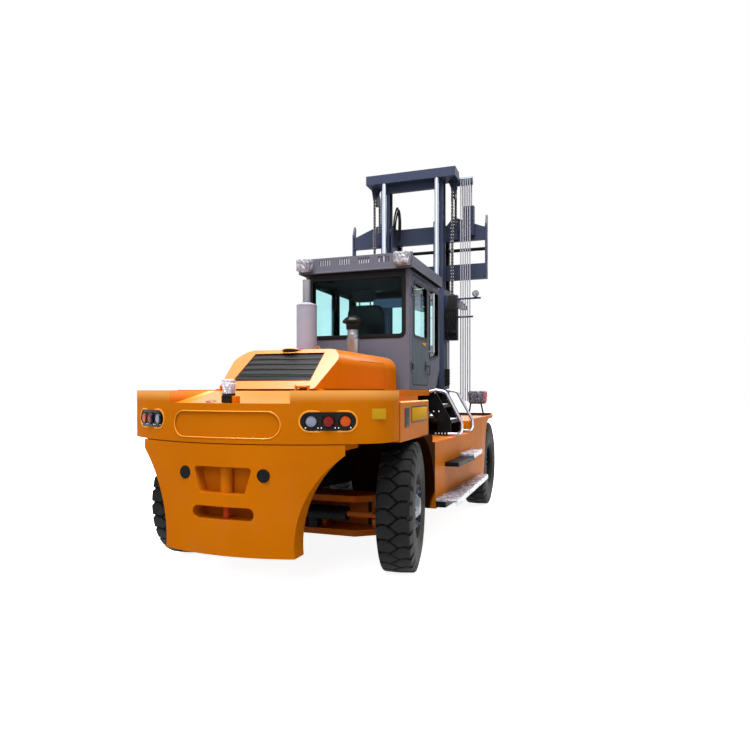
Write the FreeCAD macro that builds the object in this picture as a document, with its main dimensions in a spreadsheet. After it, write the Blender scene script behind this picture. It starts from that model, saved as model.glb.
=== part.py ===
import FreeCAD, Part
import math
import os
import re
import Sketcher

# A 16 tonne diesel forklift with a two-stage mast, raised, and its rear wheels turned a little.
# Row frame: millimetres, +Z up, +Y towards the forks, origin on the ground under the box's centre.
# The front axle stands at FrontAxleY; a size named "...Aft" or "...Fore" is counted from that axle.

SIZES = {
    # running gear
    "FrontAxleY": 800, "Wheelbase": 3374, "TyreRadius": 562.5, "TyreWidth": 310, "TreadWidth": 262,
    "ShoulderDrop": 22, "BeadRadius": 254, "BeadWidth": 230, "RimWall": 16, "RearWheelX": 1051,
    "FrontWheelX": 1155, "TwinSpacing": 351, "SteerAngle": 8.8, "KingpinX": 850, "Seat": 0.3,
    "GrooveCount": 24, "GrooveWide": 13, "GrooveDeep": 17, "GrooveGap": 26, "DishRadius": 172,
    "DishRim": 196, "DishDeep": 50, "SpindleRadius": 80, "HubRadius": 150, "DiscThick": 22,
    "StubRadius": 34, "RearHubRadius": 105,
    # steer axle
    "AxlePlateHigh": 656, "AxlePlateLow": 310, "AxlePlateThick": 53, "AxleHalf": 690, "AxleWebPast": 30,
    "AxleRibX": 345, "AxleRibThick": 30, "AxleRear": 190,
    "AxleFront": 120, "KingpinRadius": 30, "KnuckleRadius": 68, "AxleEndRadius": 72, "SteerArm": 165,
    "SteerCylZ": 500, "SteerCylRadius": 62, "SteerCylHalf": 615, "SteerRodRadius": 24,
    "SteerEyeRadius": 36, "SteerEyeThick": 30, "SteerPinRadius": 15,
    "SteerSlotHalf": 24, "SteerSlotLong": 50,
    # drive axle
    "DriveTubeRadius": 140, "DriveBulgeRadius": 255, "DriveHalf": 640, "DriveFlangeRadius": 200,
    # counterweight
    "TailAft": 4530, "TailArc": 1800, "TailCorner": 280, "BandHalf": 1175, "BandSide": 158.6,
    "BandBottom": 1172, "BandTop": 1565, "SkirtTop": 1164, "SkirtTopHalf": 920, "SkirtBottomHalf": 563,
    "SkirtBottom": 335, "FlankTop": 1103, "FlankRadius": 829, "SkirtShort": 240, "KeelHalf": 350,
    "KeelPast": 180, "KeelBottom": 400, "PlateDepth": 8, "PlateHalf": 461, "PlateLow": 1212,
    "PlateHigh": 1410, "DeckCutHalf": 530, "LipHigh": 1470, "RecessPast": 130,
    "PocketTopHalf": 253, "PocketTop": 996, "PocketBottomHalf": 190, "PocketBottom": 795,
    "PocketDepth": 110, "SlotHalf": 264, "SlotLow": 600, "SlotHigh": 700, "SlotDepth": 190,
    "TowPinRadius": 26, "TowPinIn": 78, "TowBossRadius": 48, "PlugX": 337, "PlugZ": 940,
    "PlugRadius": 50, "PlugDepth": 14,
    "LampTurn": 26, "LampHalf": 205, "LampHigh": 137, "LampZ": 1338, "LampDepth": 60,
    "LensRadius": 42, "LensPitch": 125, "LensProud": 9,
    "BeaconY": 4425, "BeaconRadius": 52, "BeaconHigh": 110, "BeaconBaseHigh": 72, "BeaconBaseHalf": 44,
    # frame and deck
    "FrameHalf": 350, "FramePlate": 40, "FrameLow": 660, "DeckTop": 1570, "DeckThick": 60,
    "DeckHalf": 950, "FrameDropAft": 450, "FrameNoseHigh": 1120,
    "FrameAxleGap": 760, "BayHalf": 420, "BayGap": 100, "BayFore": 2300,
    "EngineHalf": 290, "EngineLow": 700, "EngineHigh": 1480, "EngineAft": 3150, "EngineFore": 2150,
    # side bodies
    "SideTopZ": 1070, "SideLow": 430, "SideRearX": 1200, "SideFrontX": 1320, "BoxX": 1170,
    "BoxLow": 1150, "BoxHigh": 1470, "BoxFore": 2900, "PanelAft": 2734, "PanelFore": 670, "ArchRadius": 760,
    "ArchLean": 230, "FenderRound": 260, "FenderLip": 24,
    "FenderTop": 1228, "FenderThick": 42, "FenderAft": 1300, "FenderEnd": 20,
    "ArchHigh": 1148, "WellRadius": 690, "WellTop": 400,
    "ShelfX": 950, "ShelfFore": 2470,
    "BoardLow": 445, "BoardHigh": 500, "BoardOut": 96, "BoardAft": 2850, "BoardFore": 760,
    "BoardTaper": 1000,
    "StepLow": 800, "StepHigh": 842, "StepOut": 140, "StepAft": 2420, "StepFore": 1400,
    "StepTaper": 300,
    # stairs and handrails
    "StairAft": 1950, "StairFore": 1350, "StairPlate": 16, "StairHeadX": 668, "StairFootX": 1150,
    "TreadDeep": 230, "TreadThick": 30, "RailRadius": 17, 
    
    # hood
    "HoodHalf": 530, "HoodRearHalf": 455, "HoodGap": 45, "HoodFore": 2280, "HoodBase": 1578,
    "HoodHigh": 1940,
    "HoodSlope": 495, "HoodTaper": 380, "HoodWall": 34, "HoodRound": 150, "HoodGrooveZ": 1843,
    "GrilleLow": 1646, "GrilleLowHalf": 376,
    "GrilleTopHalf": 354, "GrilleHigh": 1905, "SlatHigh": 47, "OvalRadius": 82, "CowlAft": 2274,
    "CowlFore": 1860,
    "HingeOut": 20, "HingeZ": 1596, "HingeRadius": 11, "HingeX": 360, "HingeLong": 90,
    "MufflerX": -488, "MufflerAft": 2070, "MufflerRadius": 117, "MufflerHigh": 2553,
    "TailpipeRadius": 45, "TailpipeHigh": 2840, "IntakeX": 80, "IntakeAft": 2060, "IntakeRadius": 72,
    "IntakeHigh": 2290, "CapRadius": 118, "CapHigh": 2405,
    # cab
    "CabHalf": 651, "CabAft": 1747, "CabFore": 250, "CabWall": 45, "CabHigh": 2960,
    "CabChinZ": 1850, "CabChinFore": 480, "CabBrowFore": 300, "GlassThick": 8,
    "RearGlassHalf": 590, "RearGlassLow": 2190, "RearGlassHigh": 2905,
    "DoorAft": 1620, "DoorFore": 870, "DoorLow": 1625, "DoorHigh": 2925, "DoorThick": 40,
    "DoorGap": 8, "DoorFrame": 62, "DoorGlassLow": 2200, "DoorHingeRadius": 14,
    "QuarterAft": 800, "QuarterFore": 330, "QuarterLow": 1960, "QuarterHigh": 2880,
    "ScreenHalf": 590, "ScreenLow": 1960, "ScreenHigh": 2890,
    "RoofHalf": 712, "RoofAft": 1830, "RoofFore": 350, "RoofSkin": 60, "RoofHigh": 3135,
    "RoofWall": 24, "RoofLampX": 600, "RoofLampLong": 190, "RoofLampDeep": 130, "RoofLampHigh": 150,
    "RoofSlotPitch": 29,
    "RoofSlotWide": 15, "RoofSlotLow": 3040, "RoofSlotHigh": 3112, "RoofSlotGroup": 245,
    "SeatHalf": 260, "SeatAft": 1400, "SeatFore": 880, "SeatLow": 2000, "SeatBackHigh": 2620,
    "DashHalf": 330, "DashAft": 560, "DashHigh": 2120, "WheelRingRadius": 190,
    "GrabRadius": 13, "GrabOut": 60, "GrabLow": 2050, "GrabHigh": 2810,
    # mirrors
    "MirrorX": 1165, "MirrorHalf": 145, "MirrorAft": 200, "MirrorLow": 1385, "MirrorHigh": 1565,
    "MirrorDeep": 60, "MirrorLegRadius": 12, "MirrorLegX": 95,
    # mast
    "TiltFore": 400, "TiltZ": 550, "TiltPinRadius": 40, "MastFootRadius": 78,
    "RollGap": 10, "OuterHalf": 550, "OuterWeb": 40, "OuterFlange": 85, "ChannelAft": 600,
    "ChannelFore": 860, "FlangeThick": 24, "OuterLow": 420, "OuterHigh": 3100, "InnerHalf": 498,
    "InnerFlange": 130, "InnerWeb": 30, "InnerLow": 1950, "InnerHigh": 4800, "BarrelRadius": 56,
    "LiftX": 420, "LiftFore": 560, "RodRadius": 37, "BarrelHigh": 3060, "BeamDeep": 50,
    "CrossHalf": 711, "CrossLow": 4790, "CrossHigh": 4930, "CrossMidLow": 4665, "CrossBack": 40,
    "SheaveX": 630, "ChainWide": 50, "ChainThick": 34, "ChainRearFore": 695, "ChainFrontFore": 950,
    "SheaveZ": 4640, "AnchorZ": 2750, "HosePulleyZ": 4780, "HoseFirstX": 750, "HosePitch": 35,
    "HoseRadius": 10, "HoseLow": 1400,
    "HosePackLow": 2320, "HosePackHigh": 3000, "LampArmLong": 380, "LampArmShort": 265,
    # tilt cylinders
    "TiltCylX": 470, "TiltRearAft": 500, "TiltRearZ": 1200, "TiltFrontFore": 370, "TiltFrontZ": 1430,
    "TiltBarrelRadius": 68, "TiltRodRadius": 34, "TiltEyeRadius": 52, "TiltPin": 24, "TiltEyeOpen": 8,
    "TiltBarrelLong": 580,
    # carriage and forks
    "CarriageHalf": 1115, "BarPast": 30, "BarThick": 80, "BarTopLow": 3910, "BarTopHigh": 4170,
    "BarTopEnd": 4110, "BarShoulder": 4300, "BarLowLow": 3300, "BarLowHigh": 3540,
    "FinLow": 3300, "FinHigh": 4320, "FinThick": 30, "RollerHalf": 358, "RollerPlate": 26,
    "PositionerZ": 3770, "PositionerRadius": 26,
    "ForkX": 400, "ForkWide": 200, "ForkThick": 90, "ForkLow": 3080, "ForkReach": 1775,
    "ForkTop": 4100, "ForkGap": 5, "ForkTip": 14, "HookLow": 4010, "GuideX": 835, "GuideHalf": 70,
}

# Places worked out from the sizes; a name here stands for its bracketed formula.
PLACES = {
    "RearAxleY": "FrontAxleY - Wheelbase",
    "RearY": "FrontAxleY - TailAft",
    "TailCentreY": "RearY + TailArc",
    "CornerX": "BandHalf - TailCorner",
    "CornerY": "TailCentreY - sqrt((TailArc - TailCorner)^2 - CornerX^2)",
    "BandAft": "FrontAxleY - CornerY - BandSide",
    "SkirtAft": "TailAft - SkirtShort",
    "KeelAft": "BandAft + KeelPast",
    "DeckCutFore": "BandAft + RecessPast",
    "BayAft": "BandAft - BayGap",
    "HoodAft": "DeckCutFore - HoodGap",
    "HoodSlopeTop": "HoodAft - HoodSlope",
    "HingeBack": "HoodAft + HingeOut",
    "TreadHalf": "TreadWidth / 2",
    "TyreHalf": "TyreWidth / 2",
    "RearOffset": "RearWheelX - KingpinX",
    "RimOuter": "BeadRadius - Seat",
    "DeckUnder": "DeckTop - DeckThick",
    "ChainMid": "(ChainRearFore + ChainFrontFore) / 2",
    "SheaveRadius": "(ChainFrontFore - ChainRearFore) / 2 - ChainThick / 2",
    "InnerAft": "ChannelAft + FlangeThick + RollGap",
    "InnerFore": "ChannelFore - FlangeThick - RollGap",
    "BarAft": "ChainFrontFore + BarPast",
    "BarFore": "BarAft + BarThick",
    "BladeTopZ": "ForkLow + ForkThick",
    "ForkBack": "BarFore + ForkGap",
    "SideInner": "FrameHalf + Seat",
    "CabBase": "DeckTop + Seat",
    "StairFootZ": "SideTopZ + Seat",
}

doc = FreeCAD.newDocument("Forklift")
sheet = doc.addObject("Spreadsheet::Sheet", "Sizes")
for row, (size_name, size_value) in enumerate(SIZES.items(), start=1):
    sheet.set("A%d" % row, size_name)
    sheet.set("B%d" % row, str(size_value))
    sheet.setAlias("B%d" % row, size_name)
doc.recompute()

WORD = re.compile(r"[A-Z][A-Za-z]+")
NODES = []


def formula(text):
    """Write the sheet's name before each size and open each place, so that the text is an expression."""
    def swap(match):
        word = match.group(0)
        if word in PLACES:
            return "(" + formula(PLACES[word]) + ")"
        return "Sizes." + word if word in SIZES else word
    return WORD.sub(swap, str(text))


def number(text):
    """The present value of a formula."""
    return float(sheet.evalExpression(formula(text)))


def bind(item, field, text):
    item.setExpression(field, formula(text))


def place(item, x="0", y="0", z="0"):
    """Bind where an object stands."""
    for axis, text in zip("xyz", (x, y, z)):
        bind(item, "Placement.Base." + axis, text)
    return item


def node(item, label):
    """Keep an object as one of the sub-parts that are written out."""
    item.Label = label
    NODES.append(item)
    return item


def new_body(name):
    return doc.addObject("PartDesign::Body", name)


def plane_of(body, plane):
    return [f for f in body.Origin.OriginFeatures if f.Role == plane + "_Plane"][0]


def tangent_points(before, corner, after, radius):
    """Where a rounding of this radius leaves and meets the two edges of a corner."""
    to_b, to_a = before - corner, after - corner
    to_b.normalize()
    to_a.normalize()
    angle = to_b.getAngle(to_a)
    reach = radius / math.tan(angle / 2)
    middle = to_b + to_a
    middle.normalize()
    centre = corner + middle * (radius / math.sin(angle / 2))
    return corner + to_b * reach, corner + to_a * reach, centre


def arc_between(start, end, centre):
    """An anticlockwise arc from start to end or back, and which of its ends lies at start."""
    turn = (start - centre).cross(end - centre).z
    first, last = (start, end) if turn > 0 else (end, start)
    angles = [math.atan2(p.y - centre.y, p.x - centre.x) for p in (first, last)]
    circle = Part.Circle(centre, FreeCAD.Vector(0, 0, 1), (start - centre).Length)
    return Part.ArcOfCircle(circle, angles[0], angles[1]), (1 if turn > 0 else 2)


def bulge_centre(start, end, radius, side):
    """Centre of an arc edge; side +1 puts it left of the way from start to end, -1 right."""
    half = (end - start) * 0.5
    left = FreeCAD.Vector(-half.y, half.x, 0)
    left.normalize()
    return start + half + left * (side * math.sqrt(max(radius ** 2 - half.Length ** 2, 0)))


def outline(body, plane, level, points, arcs=None, closed=True):
    """Sketch on a body's own plane, at a level along its normal.

    points: (u, v) or (u, v, rounding) formulas. arcs: {edge number: (radius, side)} for curved edges.
    """
    arcs = arcs or {}
    sketch = body.newObject("Sketcher::SketchObject", body.Name + "Sketch")
    sketch.AttachmentSupport = [(plane_of(body, plane), "")]
    sketch.MapMode = "FlatFace"
    bind(sketch, "AttachmentOffset.Base.z", level)
    spots = [FreeCAD.Vector(number(p[0]), number(p[1]), 0) for p in points]
    count = len(points)
    edges = count if closed else count - 1
    starts, ends, rounds = {}, {}, {}
    for i, point in enumerate(points):
        starts[i] = ends[i] = spots[i]
        if len(point) > 2:
            before, after = spots[i - 1], spots[(i + 1) % count]
            ends[i], starts[i], rounds[i] = tangent_points(before, spots[i], after, number(point[2]))
    made = {}
    for i in range(edges):
        start, end = starts[i], ends[(i + 1) % count]
        if i in arcs:
            radius, side = arcs[i]
            curve, first = arc_between(start, end, bulge_centre(start, end, number(radius), side))
            made[i] = (sketch.addGeometry(curve), first)
            spot = sketch.addConstraint(Sketcher.Constraint("Radius", made[i][0], number(radius)))
            bind(sketch, "Constraints[%d]" % spot, radius)
        else:
            made[i] = (sketch.addGeometry(Part.LineSegment(start, end)), 1)

    def fix(geometry, end, point):
        for kind, text in zip(("DistanceX", "DistanceY"), point):
            spot = sketch.addConstraint(Sketcher.Constraint(kind, -1, 1, geometry, end, number(text)))
            bind(sketch, "Constraints[%d]" % spot, text)

    for i, point in enumerate(points):
        last = made.get((i - 1) % count) if closed or i else None
        following = made.get(i) if closed or i < count - 1 else None
        if i in rounds:
            curve, first = arc_between(ends[i], starts[i], rounds[i])
            arc = sketch.addGeometry(curve)
            corner = sketch.addGeometry(Part.Point(spots[i]), True)
            fix(corner, 1, point)
            for side in (last, following):
                sketch.addConstraint(Sketcher.Constraint("PointOnObject", corner, 1, side[0]))
            sketch.addConstraint(Sketcher.Constraint("Tangent", last[0], 3 - last[1], arc, first))
            sketch.addConstraint(Sketcher.Constraint("Tangent", arc, 3 - first, following[0], following[1]))
            spot = sketch.addConstraint(Sketcher.Constraint("Radius", arc, number(point[2])))
            bind(sketch, "Constraints[%d]" % spot, point[2])
            continue
        if last and following:
            sketch.addConstraint(Sketcher.Constraint("Coincident", last[0], 3 - last[1],
                                                     following[0], following[1]))
        if following:
            fix(following[0], following[1], point)
        else:
            fix(last[0], 3 - last[1], point)
    return sketch


def level_of(plane, low, high, cutting=False):
    """Level of a sketch whose pad, or cut, fills the space from low to high along its plane's axis."""
    if plane == "XZ":
        return "-(%s)" % (low if cutting else high)
    return high if cutting else low


def add_pad(body, plane, low, high, points, arcs=None):
    sketch = outline(body, plane, level_of(plane, low, high), points, arcs)
    pad = body.newObject("PartDesign::Pad", body.Name + "Pad")
    pad.Profile = sketch
    bind(pad, "Length", "(%s) - (%s)" % (high, low))
    body.Tip = pad
    return body


def extrude(name, plane, low, high, points, arcs=None):
    """A body that carries one outline from low to high along the axis across its plane."""
    return add_pad(new_body(name), plane, low, high, points, arcs)


def revolve(name, axis, points, arcs=None):
    """A body turned about its own X axis, points (x, radius), or Z axis, points (radius, z)."""
    body = new_body(name)
    sketch = outline(body, "XY" if axis == "X" else "XZ", "0", points, arcs)
    turned = body.newObject("PartDesign::Revolution", name + "Turn")
    turned.Profile = sketch
    turned.ReferenceAxis = (sketch, ["H_Axis" if axis == "X" else "V_Axis"])
    turned.Angle = 360
    body.Tip = turned
    return body


def block(name, low, high):
    """A box between two corners."""
    item = doc.addObject("Part::Box", name)
    for side, axis, first, last in zip(("Length", "Width", "Height"), "xyz", low, high):
        bind(item, side, "(%s) - (%s)" % (last, first))
        bind(item, "Placement.Base." + axis, first)
    return item


TURNS = {"X": ((0, 1, 0), 90), "Y": ((1, 0, 0), -90), "Z": ((0, 0, 1), 0)}


def rod(name, axis, radius, start, length):
    """A cylinder along a row axis from its start point."""
    item = doc.addObject("Part::Cylinder", name)
    about, angle = TURNS[axis]
    item.Placement = FreeCAD.Placement(FreeCAD.Vector(), FreeCAD.Rotation(FreeCAD.Vector(*about), angle))
    bind(item, "Radius", radius)
    bind(item, "Height", length)
    return place(item, *start)


def fuse(name, *items):
    item = doc.addObject("Part::MultiFuse", name)
    item.Shapes = list(items)
    item.Refine = True
    return item


def cut(name, base, *tools):
    item = doc.addObject("Part::Cut", name)
    item.Base = base
    item.Tool = tools[0] if len(tools) == 1 else fuse(name + "Tools", *tools)
    item.Refine = True
    return item


def common(name, first, second):
    item = doc.addObject("Part::MultiCommon", name)
    item.Shapes = [first, second]
    item.Refine = True
    return item


def group(name, *items):
    """Several solids that don't touch, kept together."""
    item = doc.addObject("Part::Compound", name)
    item.Links = list(items)
    return item


def mirror(name, source):
    """The left-hand copy of a right-hand piece."""
    item = doc.addObject("Part::Mirroring", name)
    item.Source = source
    item.Normal = FreeCAD.Vector(1, 0, 0)
    return item


def both(name, right):
    return group(name, right, mirror(name + "Mirror", right))


def turned(name, source, angle, x="0", y="0", z="0"):
    """A copy that is turned about Z and set down at a point."""
    item = group(name, source)
    item.Placement = FreeCAD.Placement(FreeCAD.Vector(), FreeCAD.Rotation(FreeCAD.Vector(0, 0, 1), 1))
    bind(item, "Placement.Rotation.Angle", angle)
    return place(item, x, y, z)


def aft(size):
    return "FrontAxleY - (%s)" % size


def fore(size):
    return "FrontAxleY + (%s)" % size


def mirrored_profile(right):
    """A whole outline from its right half, given from the bottom centre up."""
    return list(right) + [("-(%s)" % p[0],) + tuple(p[1:]) for p in reversed(right)]


# ---------------------------------------------------------------- wheels

def tyre():
    """One tyre about the X axis: beads, bulging side walls, and a tread cut into staggered lugs."""
    carcass = revolve("TyreCarcass", "X", [
        ("-BeadWidth / 2", "BeadRadius"), ("BeadWidth / 2", "BeadRadius"),
        ("BeadWidth / 2", "BeadRadius + 10"), ("BeadWidth / 2 + 13", "BeadRadius + 10"),
        ("TyreHalf", "BeadRadius + 150"), ("TreadHalf", "TyreRadius - ShoulderDrop"),
        ("TreadHalf - ShoulderDrop", "TyreRadius"), ("ShoulderDrop - TreadHalf", "TyreRadius"),
        ("-TreadHalf", "TyreRadius - ShoulderDrop"), ("-TyreHalf", "BeadRadius + 150"),
        ("-BeadWidth / 2 - 13", "BeadRadius + 10"), ("-BeadWidth / 2", "BeadRadius + 10")],
        {3: ("260", 1), 4: ("260", 1), 8: ("260", 1), 9: ("260", 1)})
    notch = block("TreadNotch", ("GrooveGap", "-GrooveWide / 2", "TyreRadius - GrooveDeep"),
                  ("TyreHalf + 10", "GrooveWide / 2", "TyreRadius + 20"))
    notches = []
    for side, source in enumerate((notch, mirror("TreadNotchLeft", notch))):
        for i in range(int(number("GrooveCount"))):
            item = group("TreadNotch%d_%d" % (side, i), source)
            item.Placement = FreeCAD.Placement(FreeCAD.Vector(),
                                               FreeCAD.Rotation(FreeCAD.Vector(1, 0, 0), 1))
            bind(item, "Placement.Rotation.Angle", "360 * (%d + %s) / GrooveCount" % (i, side / 2))
            notches.append(item)
    return cut("Tyre", carcass, group("TreadNotches", *notches))


def rim_ring(name, disc_at):
    """Well of a rim with its dished disc; disc_at is the disc's outer face from the ring's middle."""
    ring = revolve(name + "Ring", "X", [
        ("-BeadWidth / 2", "RimOuter - RimWall"), ("BeadWidth / 2", "RimOuter - RimWall"),
        ("BeadWidth / 2 + 12", "RimOuter + 8"), ("BeadWidth / 2 + Seat", "RimOuter + 8"),
        ("BeadWidth / 2 + Seat", "RimOuter"), ("-BeadWidth / 2 - Seat", "RimOuter"),
        ("-BeadWidth / 2 - Seat", "RimOuter + 8"), ("-BeadWidth / 2 - 12", "RimOuter + 8")])
    edge = "RimOuter - RimWall + 1"
    disc = revolve(name + "Disc", "X", [
        (disc_at + " - DiscThick", "0"), (disc_at, "0"), (disc_at, "DishRadius"),
        (disc_at + " + DishDeep / 2", "DishRim"), (disc_at + " + DishDeep", edge),
        (disc_at + " - DiscThick", edge)])
    return fuse(name, ring, disc)


def front_wheels():
    """Twin tyres on two rims that share one hub, on the right, and their mirror on the left."""
    rubber = tyre()
    tyres, parts = [], []
    for i, disc_at in enumerate(("-20", "60")):
        middle = ("FrontWheelX - %d * TwinSpacing" % i, "FrontAxleY", "TyreRadius")
        tyres.append(place(group("FrontTyre%d" % i, rubber), *middle))
        parts.append(place(group("FrontRim%d" % i, rim_ring("FrontRing%d" % i, disc_at)), *middle))
    hub_start = "DriveHalf + Seat"
    parts.append(rod("FrontHub", "X", "HubRadius", (hub_start, "FrontAxleY", "TyreRadius"),
                     "FrontWheelX + 62 - (%s)" % hub_start))
    bore = rod("FrontBore", "X", "SpindleRadius + Seat", ("DriveHalf - 10", "FrontAxleY", "TyreRadius"),
               "FrontWheelX - 80 - DriveHalf + 10 + Seat")
    tyres = group("FrontTyres", *tyres)
    rims = cut("FrontRims", fuse("FrontRimSet", *parts), bore)
    node(tyres, "front_tyres_right")
    node(rims, "front_rims_right")
    node(mirror("FrontTyresLeft", tyres), "front_tyres_left")
    node(mirror("FrontRimsLeft", rims), "front_rims_left")
    return rubber


def rear_wheels(rubber):
    """Single steered wheels, each built about its kingpin and then turned with it."""
    tread = place(group("RearTyre", rubber), "RearOffset")
    ring = place(group("RearRim", rim_ring("RearRing", "40")), "RearOffset")
    hub = place(revolve("RearHub", "X", [
        ("-60", "0"), ("130", "0"), ("130", "RearHubRadius - 40"), ("95", "RearHubRadius - 30"),
        ("85", "RearHubRadius"), ("-60", "RearHubRadius")]), "RearOffset")
    bore = rod("RearBore", "X", "StubRadius + Seat", ("RearOffset - 70", "0", "0"), "150 + Seat")
    rim = cut("RearRimCut", fuse("RearRimSet", ring, hub), bore)
    for side_name, sign, pieces in (("Right", 1, (tread, rim)), ("Left", -1, (mirror("RearTyreTwin", tread),
            mirror("RearRimTwin", rim)))):
        spot = ("%d * KingpinX" % sign, "RearAxleY", "TyreRadius")
        for kind, piece in zip(("tyre", "rim"), pieces):
            node(turned("Rear%s%s" % (kind.capitalize(), side_name), piece, "SteerAngle", *spot),
                 "rear_%s_%s" % (kind, side_name.lower()))


def knuckles():
    """Steering knuckles: sleeve on the kingpin, stub axle, and an arm with the rod's pin."""
    low = "AxlePlateLow + AxlePlateThick + Seat - TyreRadius"
    high = "AxlePlateHigh - AxlePlateThick - Seat - TyreRadius"
    sleeve = rod("Sleeve", "Z", "KnuckleRadius", ("0", "0", low), "(%s) - (%s)" % (high, low))
    stub = rod("Stub", "X", "StubRadius", ("0", "0", "0"), "RearOffset + 80")
    arm_top = "SteerCylZ - SteerRodRadius - 5 - TyreRadius"
    arm = extrude("KnuckleArm", "XY", "%s - 34" % arm_top, arm_top, [
        ("-SteerEyeRadius", "-SteerArm"), ("SteerEyeRadius", "-SteerArm"),
        ("KnuckleRadius - 8", "0"), ("8 - KnuckleRadius", "0")], {0: ("SteerEyeRadius + 0.01", 1)})
    pin = rod("SteerPin", "Z", "SteerPinRadius", ("0", "-SteerArm", "%s - 34" % arm_top),
              "39 + SteerRodRadius + SteerEyeThick / 2")
    bore = rod("KingBore", "Z", "KingpinRadius + Seat", ("0", "0", "%s - 5" % low),
               "(%s) - (%s) + 10" % (high, low))
    whole = cut("Knuckle", fuse("KnuckleSet", sleeve, stub, arm, pin), bore)
    for side_name, sign, piece in (("right", 1, whole), ("left", -1, mirror("KnuckleTwin", whole))):
        node(turned("Knuckle" + side_name.capitalize(), piece, "SteerAngle", "%d * KingpinX" % sign,
                    "RearAxleY", "TyreRadius"), "knuckle_" + side_name)


# ---------------------------------------------------------------- axles

def steer_axle():
    """Two plates with round ends, joined in the middle, with a kingpin at each end."""
    plate_points = mirrored_profile([
        ("AxleHalf", "-AxleRear"), ("KingpinX", "-AxleEndRadius"), ("KingpinX", "AxleEndRadius"),
        ("AxleHalf", "AxleFront")])
    curved = {1: ("AxleEndRadius + 0.01", 1), 5: ("AxleEndRadius + 0.01", 1)}
    plates = [
        place(extrude("AxlePlateTop", "XY", "AxlePlateHigh - AxlePlateThick", "AxlePlateHigh",
                      plate_points, curved), "0", "RearAxleY"),
        place(extrude("AxlePlateBase", "XY", "AxlePlateLow", "AxlePlateLow + AxlePlateThick",
                      plate_points, curved), "0", "RearAxleY")]
    web = block("AxleWeb", ("-AxleHalf - AxleWebPast", "RearAxleY + AxleFront - 60", "AxlePlateLow + 10"),
                ("AxleHalf + AxleWebPast", "RearAxleY + AxleFront - 20", "AxlePlateHigh - 10"))
    ribs = both("AxleRibs", block("AxleRib", (
        "AxleRibX", "RearAxleY - SteerArm * cos(SteerAngle) + SteerCylRadius + 8", "AxlePlateLow + 20"),
        ("AxleRibX + AxleRibThick", "RearAxleY + AxleFront - 30", "AxlePlateHigh - 20")))
    pins = [rod("Kingpin%d" % i, "Z", "KingpinRadius", ("%d * KingpinX" % s, "RearAxleY",
                "AxlePlateLow + 10"), "AxlePlateHigh - AxlePlateLow - 20") for i, s in ((0, 1), (1, -1))]
    pivot = block("AxlePivot", ("-160", "RearAxleY - 130", "AxlePlateHigh - 10"),
                  ("160", "RearAxleY + 90", "FrameLow + 90"))
    node(fuse("SteerAxle", *plates, web, ribs, pivot, *pins), "steer_axle")
    cylinder_y = "RearAxleY - SteerArm * cos(SteerAngle)"
    barrel = rod("SteerBarrel", "X", "SteerCylRadius", ("-SteerCylHalf", cylinder_y, "SteerCylZ"),
                 "2 * SteerCylHalf")
    feet = [block("SteerFoot%d" % i, ("%d * 300 - 40" % s, cylinder_y + " - 40",
                  "AxlePlateLow + AxlePlateThick + Seat"),
                  ("%d * 300 + 40" % s, cylinder_y + " + 40", "SteerCylZ")) for i, s in ((0, 1), (1, -1))]
    bore = rod("SteerBarrelBore", "X", "SteerRodRadius + Seat", ("-SteerCylHalf - 5", cylinder_y,
               "SteerCylZ"), "2 * SteerCylHalf + 10")
    node(cut("SteerBarrelCut", fuse("SteerBarrelSet", barrel, *feet), bore), "steer_cylinder")
    shift = "SteerArm * sin(SteerAngle)"
    rod_parts = [rod("SteerRodBar", "X", "SteerRodRadius", ("-KingpinX + " + shift, cylinder_y,
                     "SteerCylZ"), "2 * KingpinX")]
    holes = []
    for i, s in ((0, 1), (1, -1)):
        at = ("%d * KingpinX + %s" % (s, shift), cylinder_y, "SteerCylZ - SteerEyeThick / 2")
        far = (at[0], at[1] + " + SteerSlotLong", at[2])
        for kind, parts, half, low, tall in (("Eye", rod_parts, "SteerEyeRadius", at[2], "SteerEyeThick"),
                                             ("Slot", holes, "SteerSlotHalf", "SteerCylZ - 40", "80")):
            parts += [rod("Steer%s%d%d" % (kind, i, k), "Z", half, (at[0], y, low), tall)
                      for k, y in enumerate((at[1], far[1]))]
            parts.append(block("Steer%sMid%d" % (kind, i), ("%s - %s" % (at[0], half), at[1], low),
                               ("%s + %s" % (at[0], half), far[1], "%s + %s" % (low, tall))))
    node(cut("SteerRod", fuse("SteerRodSet", *rod_parts), *holes), "steer_rod")


def drive_axle():
    """Drive axle housing with its bulge, wheel flanges, spindles and frame pads."""
    housing = place(revolve("DriveHousing", "X", [
        ("-DriveHalf", "0"), ("DriveHalf", "0"), ("DriveHalf", "DriveFlangeRadius"),
        ("DriveHalf - 40", "DriveFlangeRadius"), ("DriveHalf - 40", "DriveTubeRadius"),
        ("280", "DriveTubeRadius"), ("150", "DriveBulgeRadius"), ("-150", "DriveBulgeRadius"),
        ("-280", "DriveTubeRadius"), ("40 - DriveHalf", "DriveTubeRadius"),
        ("40 - DriveHalf", "DriveFlangeRadius"), ("-DriveHalf", "DriveFlangeRadius")]),
        "0", "FrontAxleY", "TyreRadius")
    spindle_end = "FrontWheelX - 80"
    spindle = rod("DriveSpindle", "X", "SpindleRadius", ("-(%s)" % spindle_end, "FrontAxleY",
                  "TyreRadius"), "2 * (%s)" % spindle_end)
    pads = [block("DrivePad%d" % i, ("%d * FrameHalf - 60" % s, "FrontAxleY - 110", "TyreRadius"),
                  ("%d * FrameHalf + 60" % s, "FrontAxleY + 110", "FrameAxleGap - Seat"))
            for i, s in ((0, 1), (1, -1))]
    node(fuse("DriveAxle", housing, spindle, *pads), "drive_axle")


# ---------------------------------------------------------------- counterweight

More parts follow.
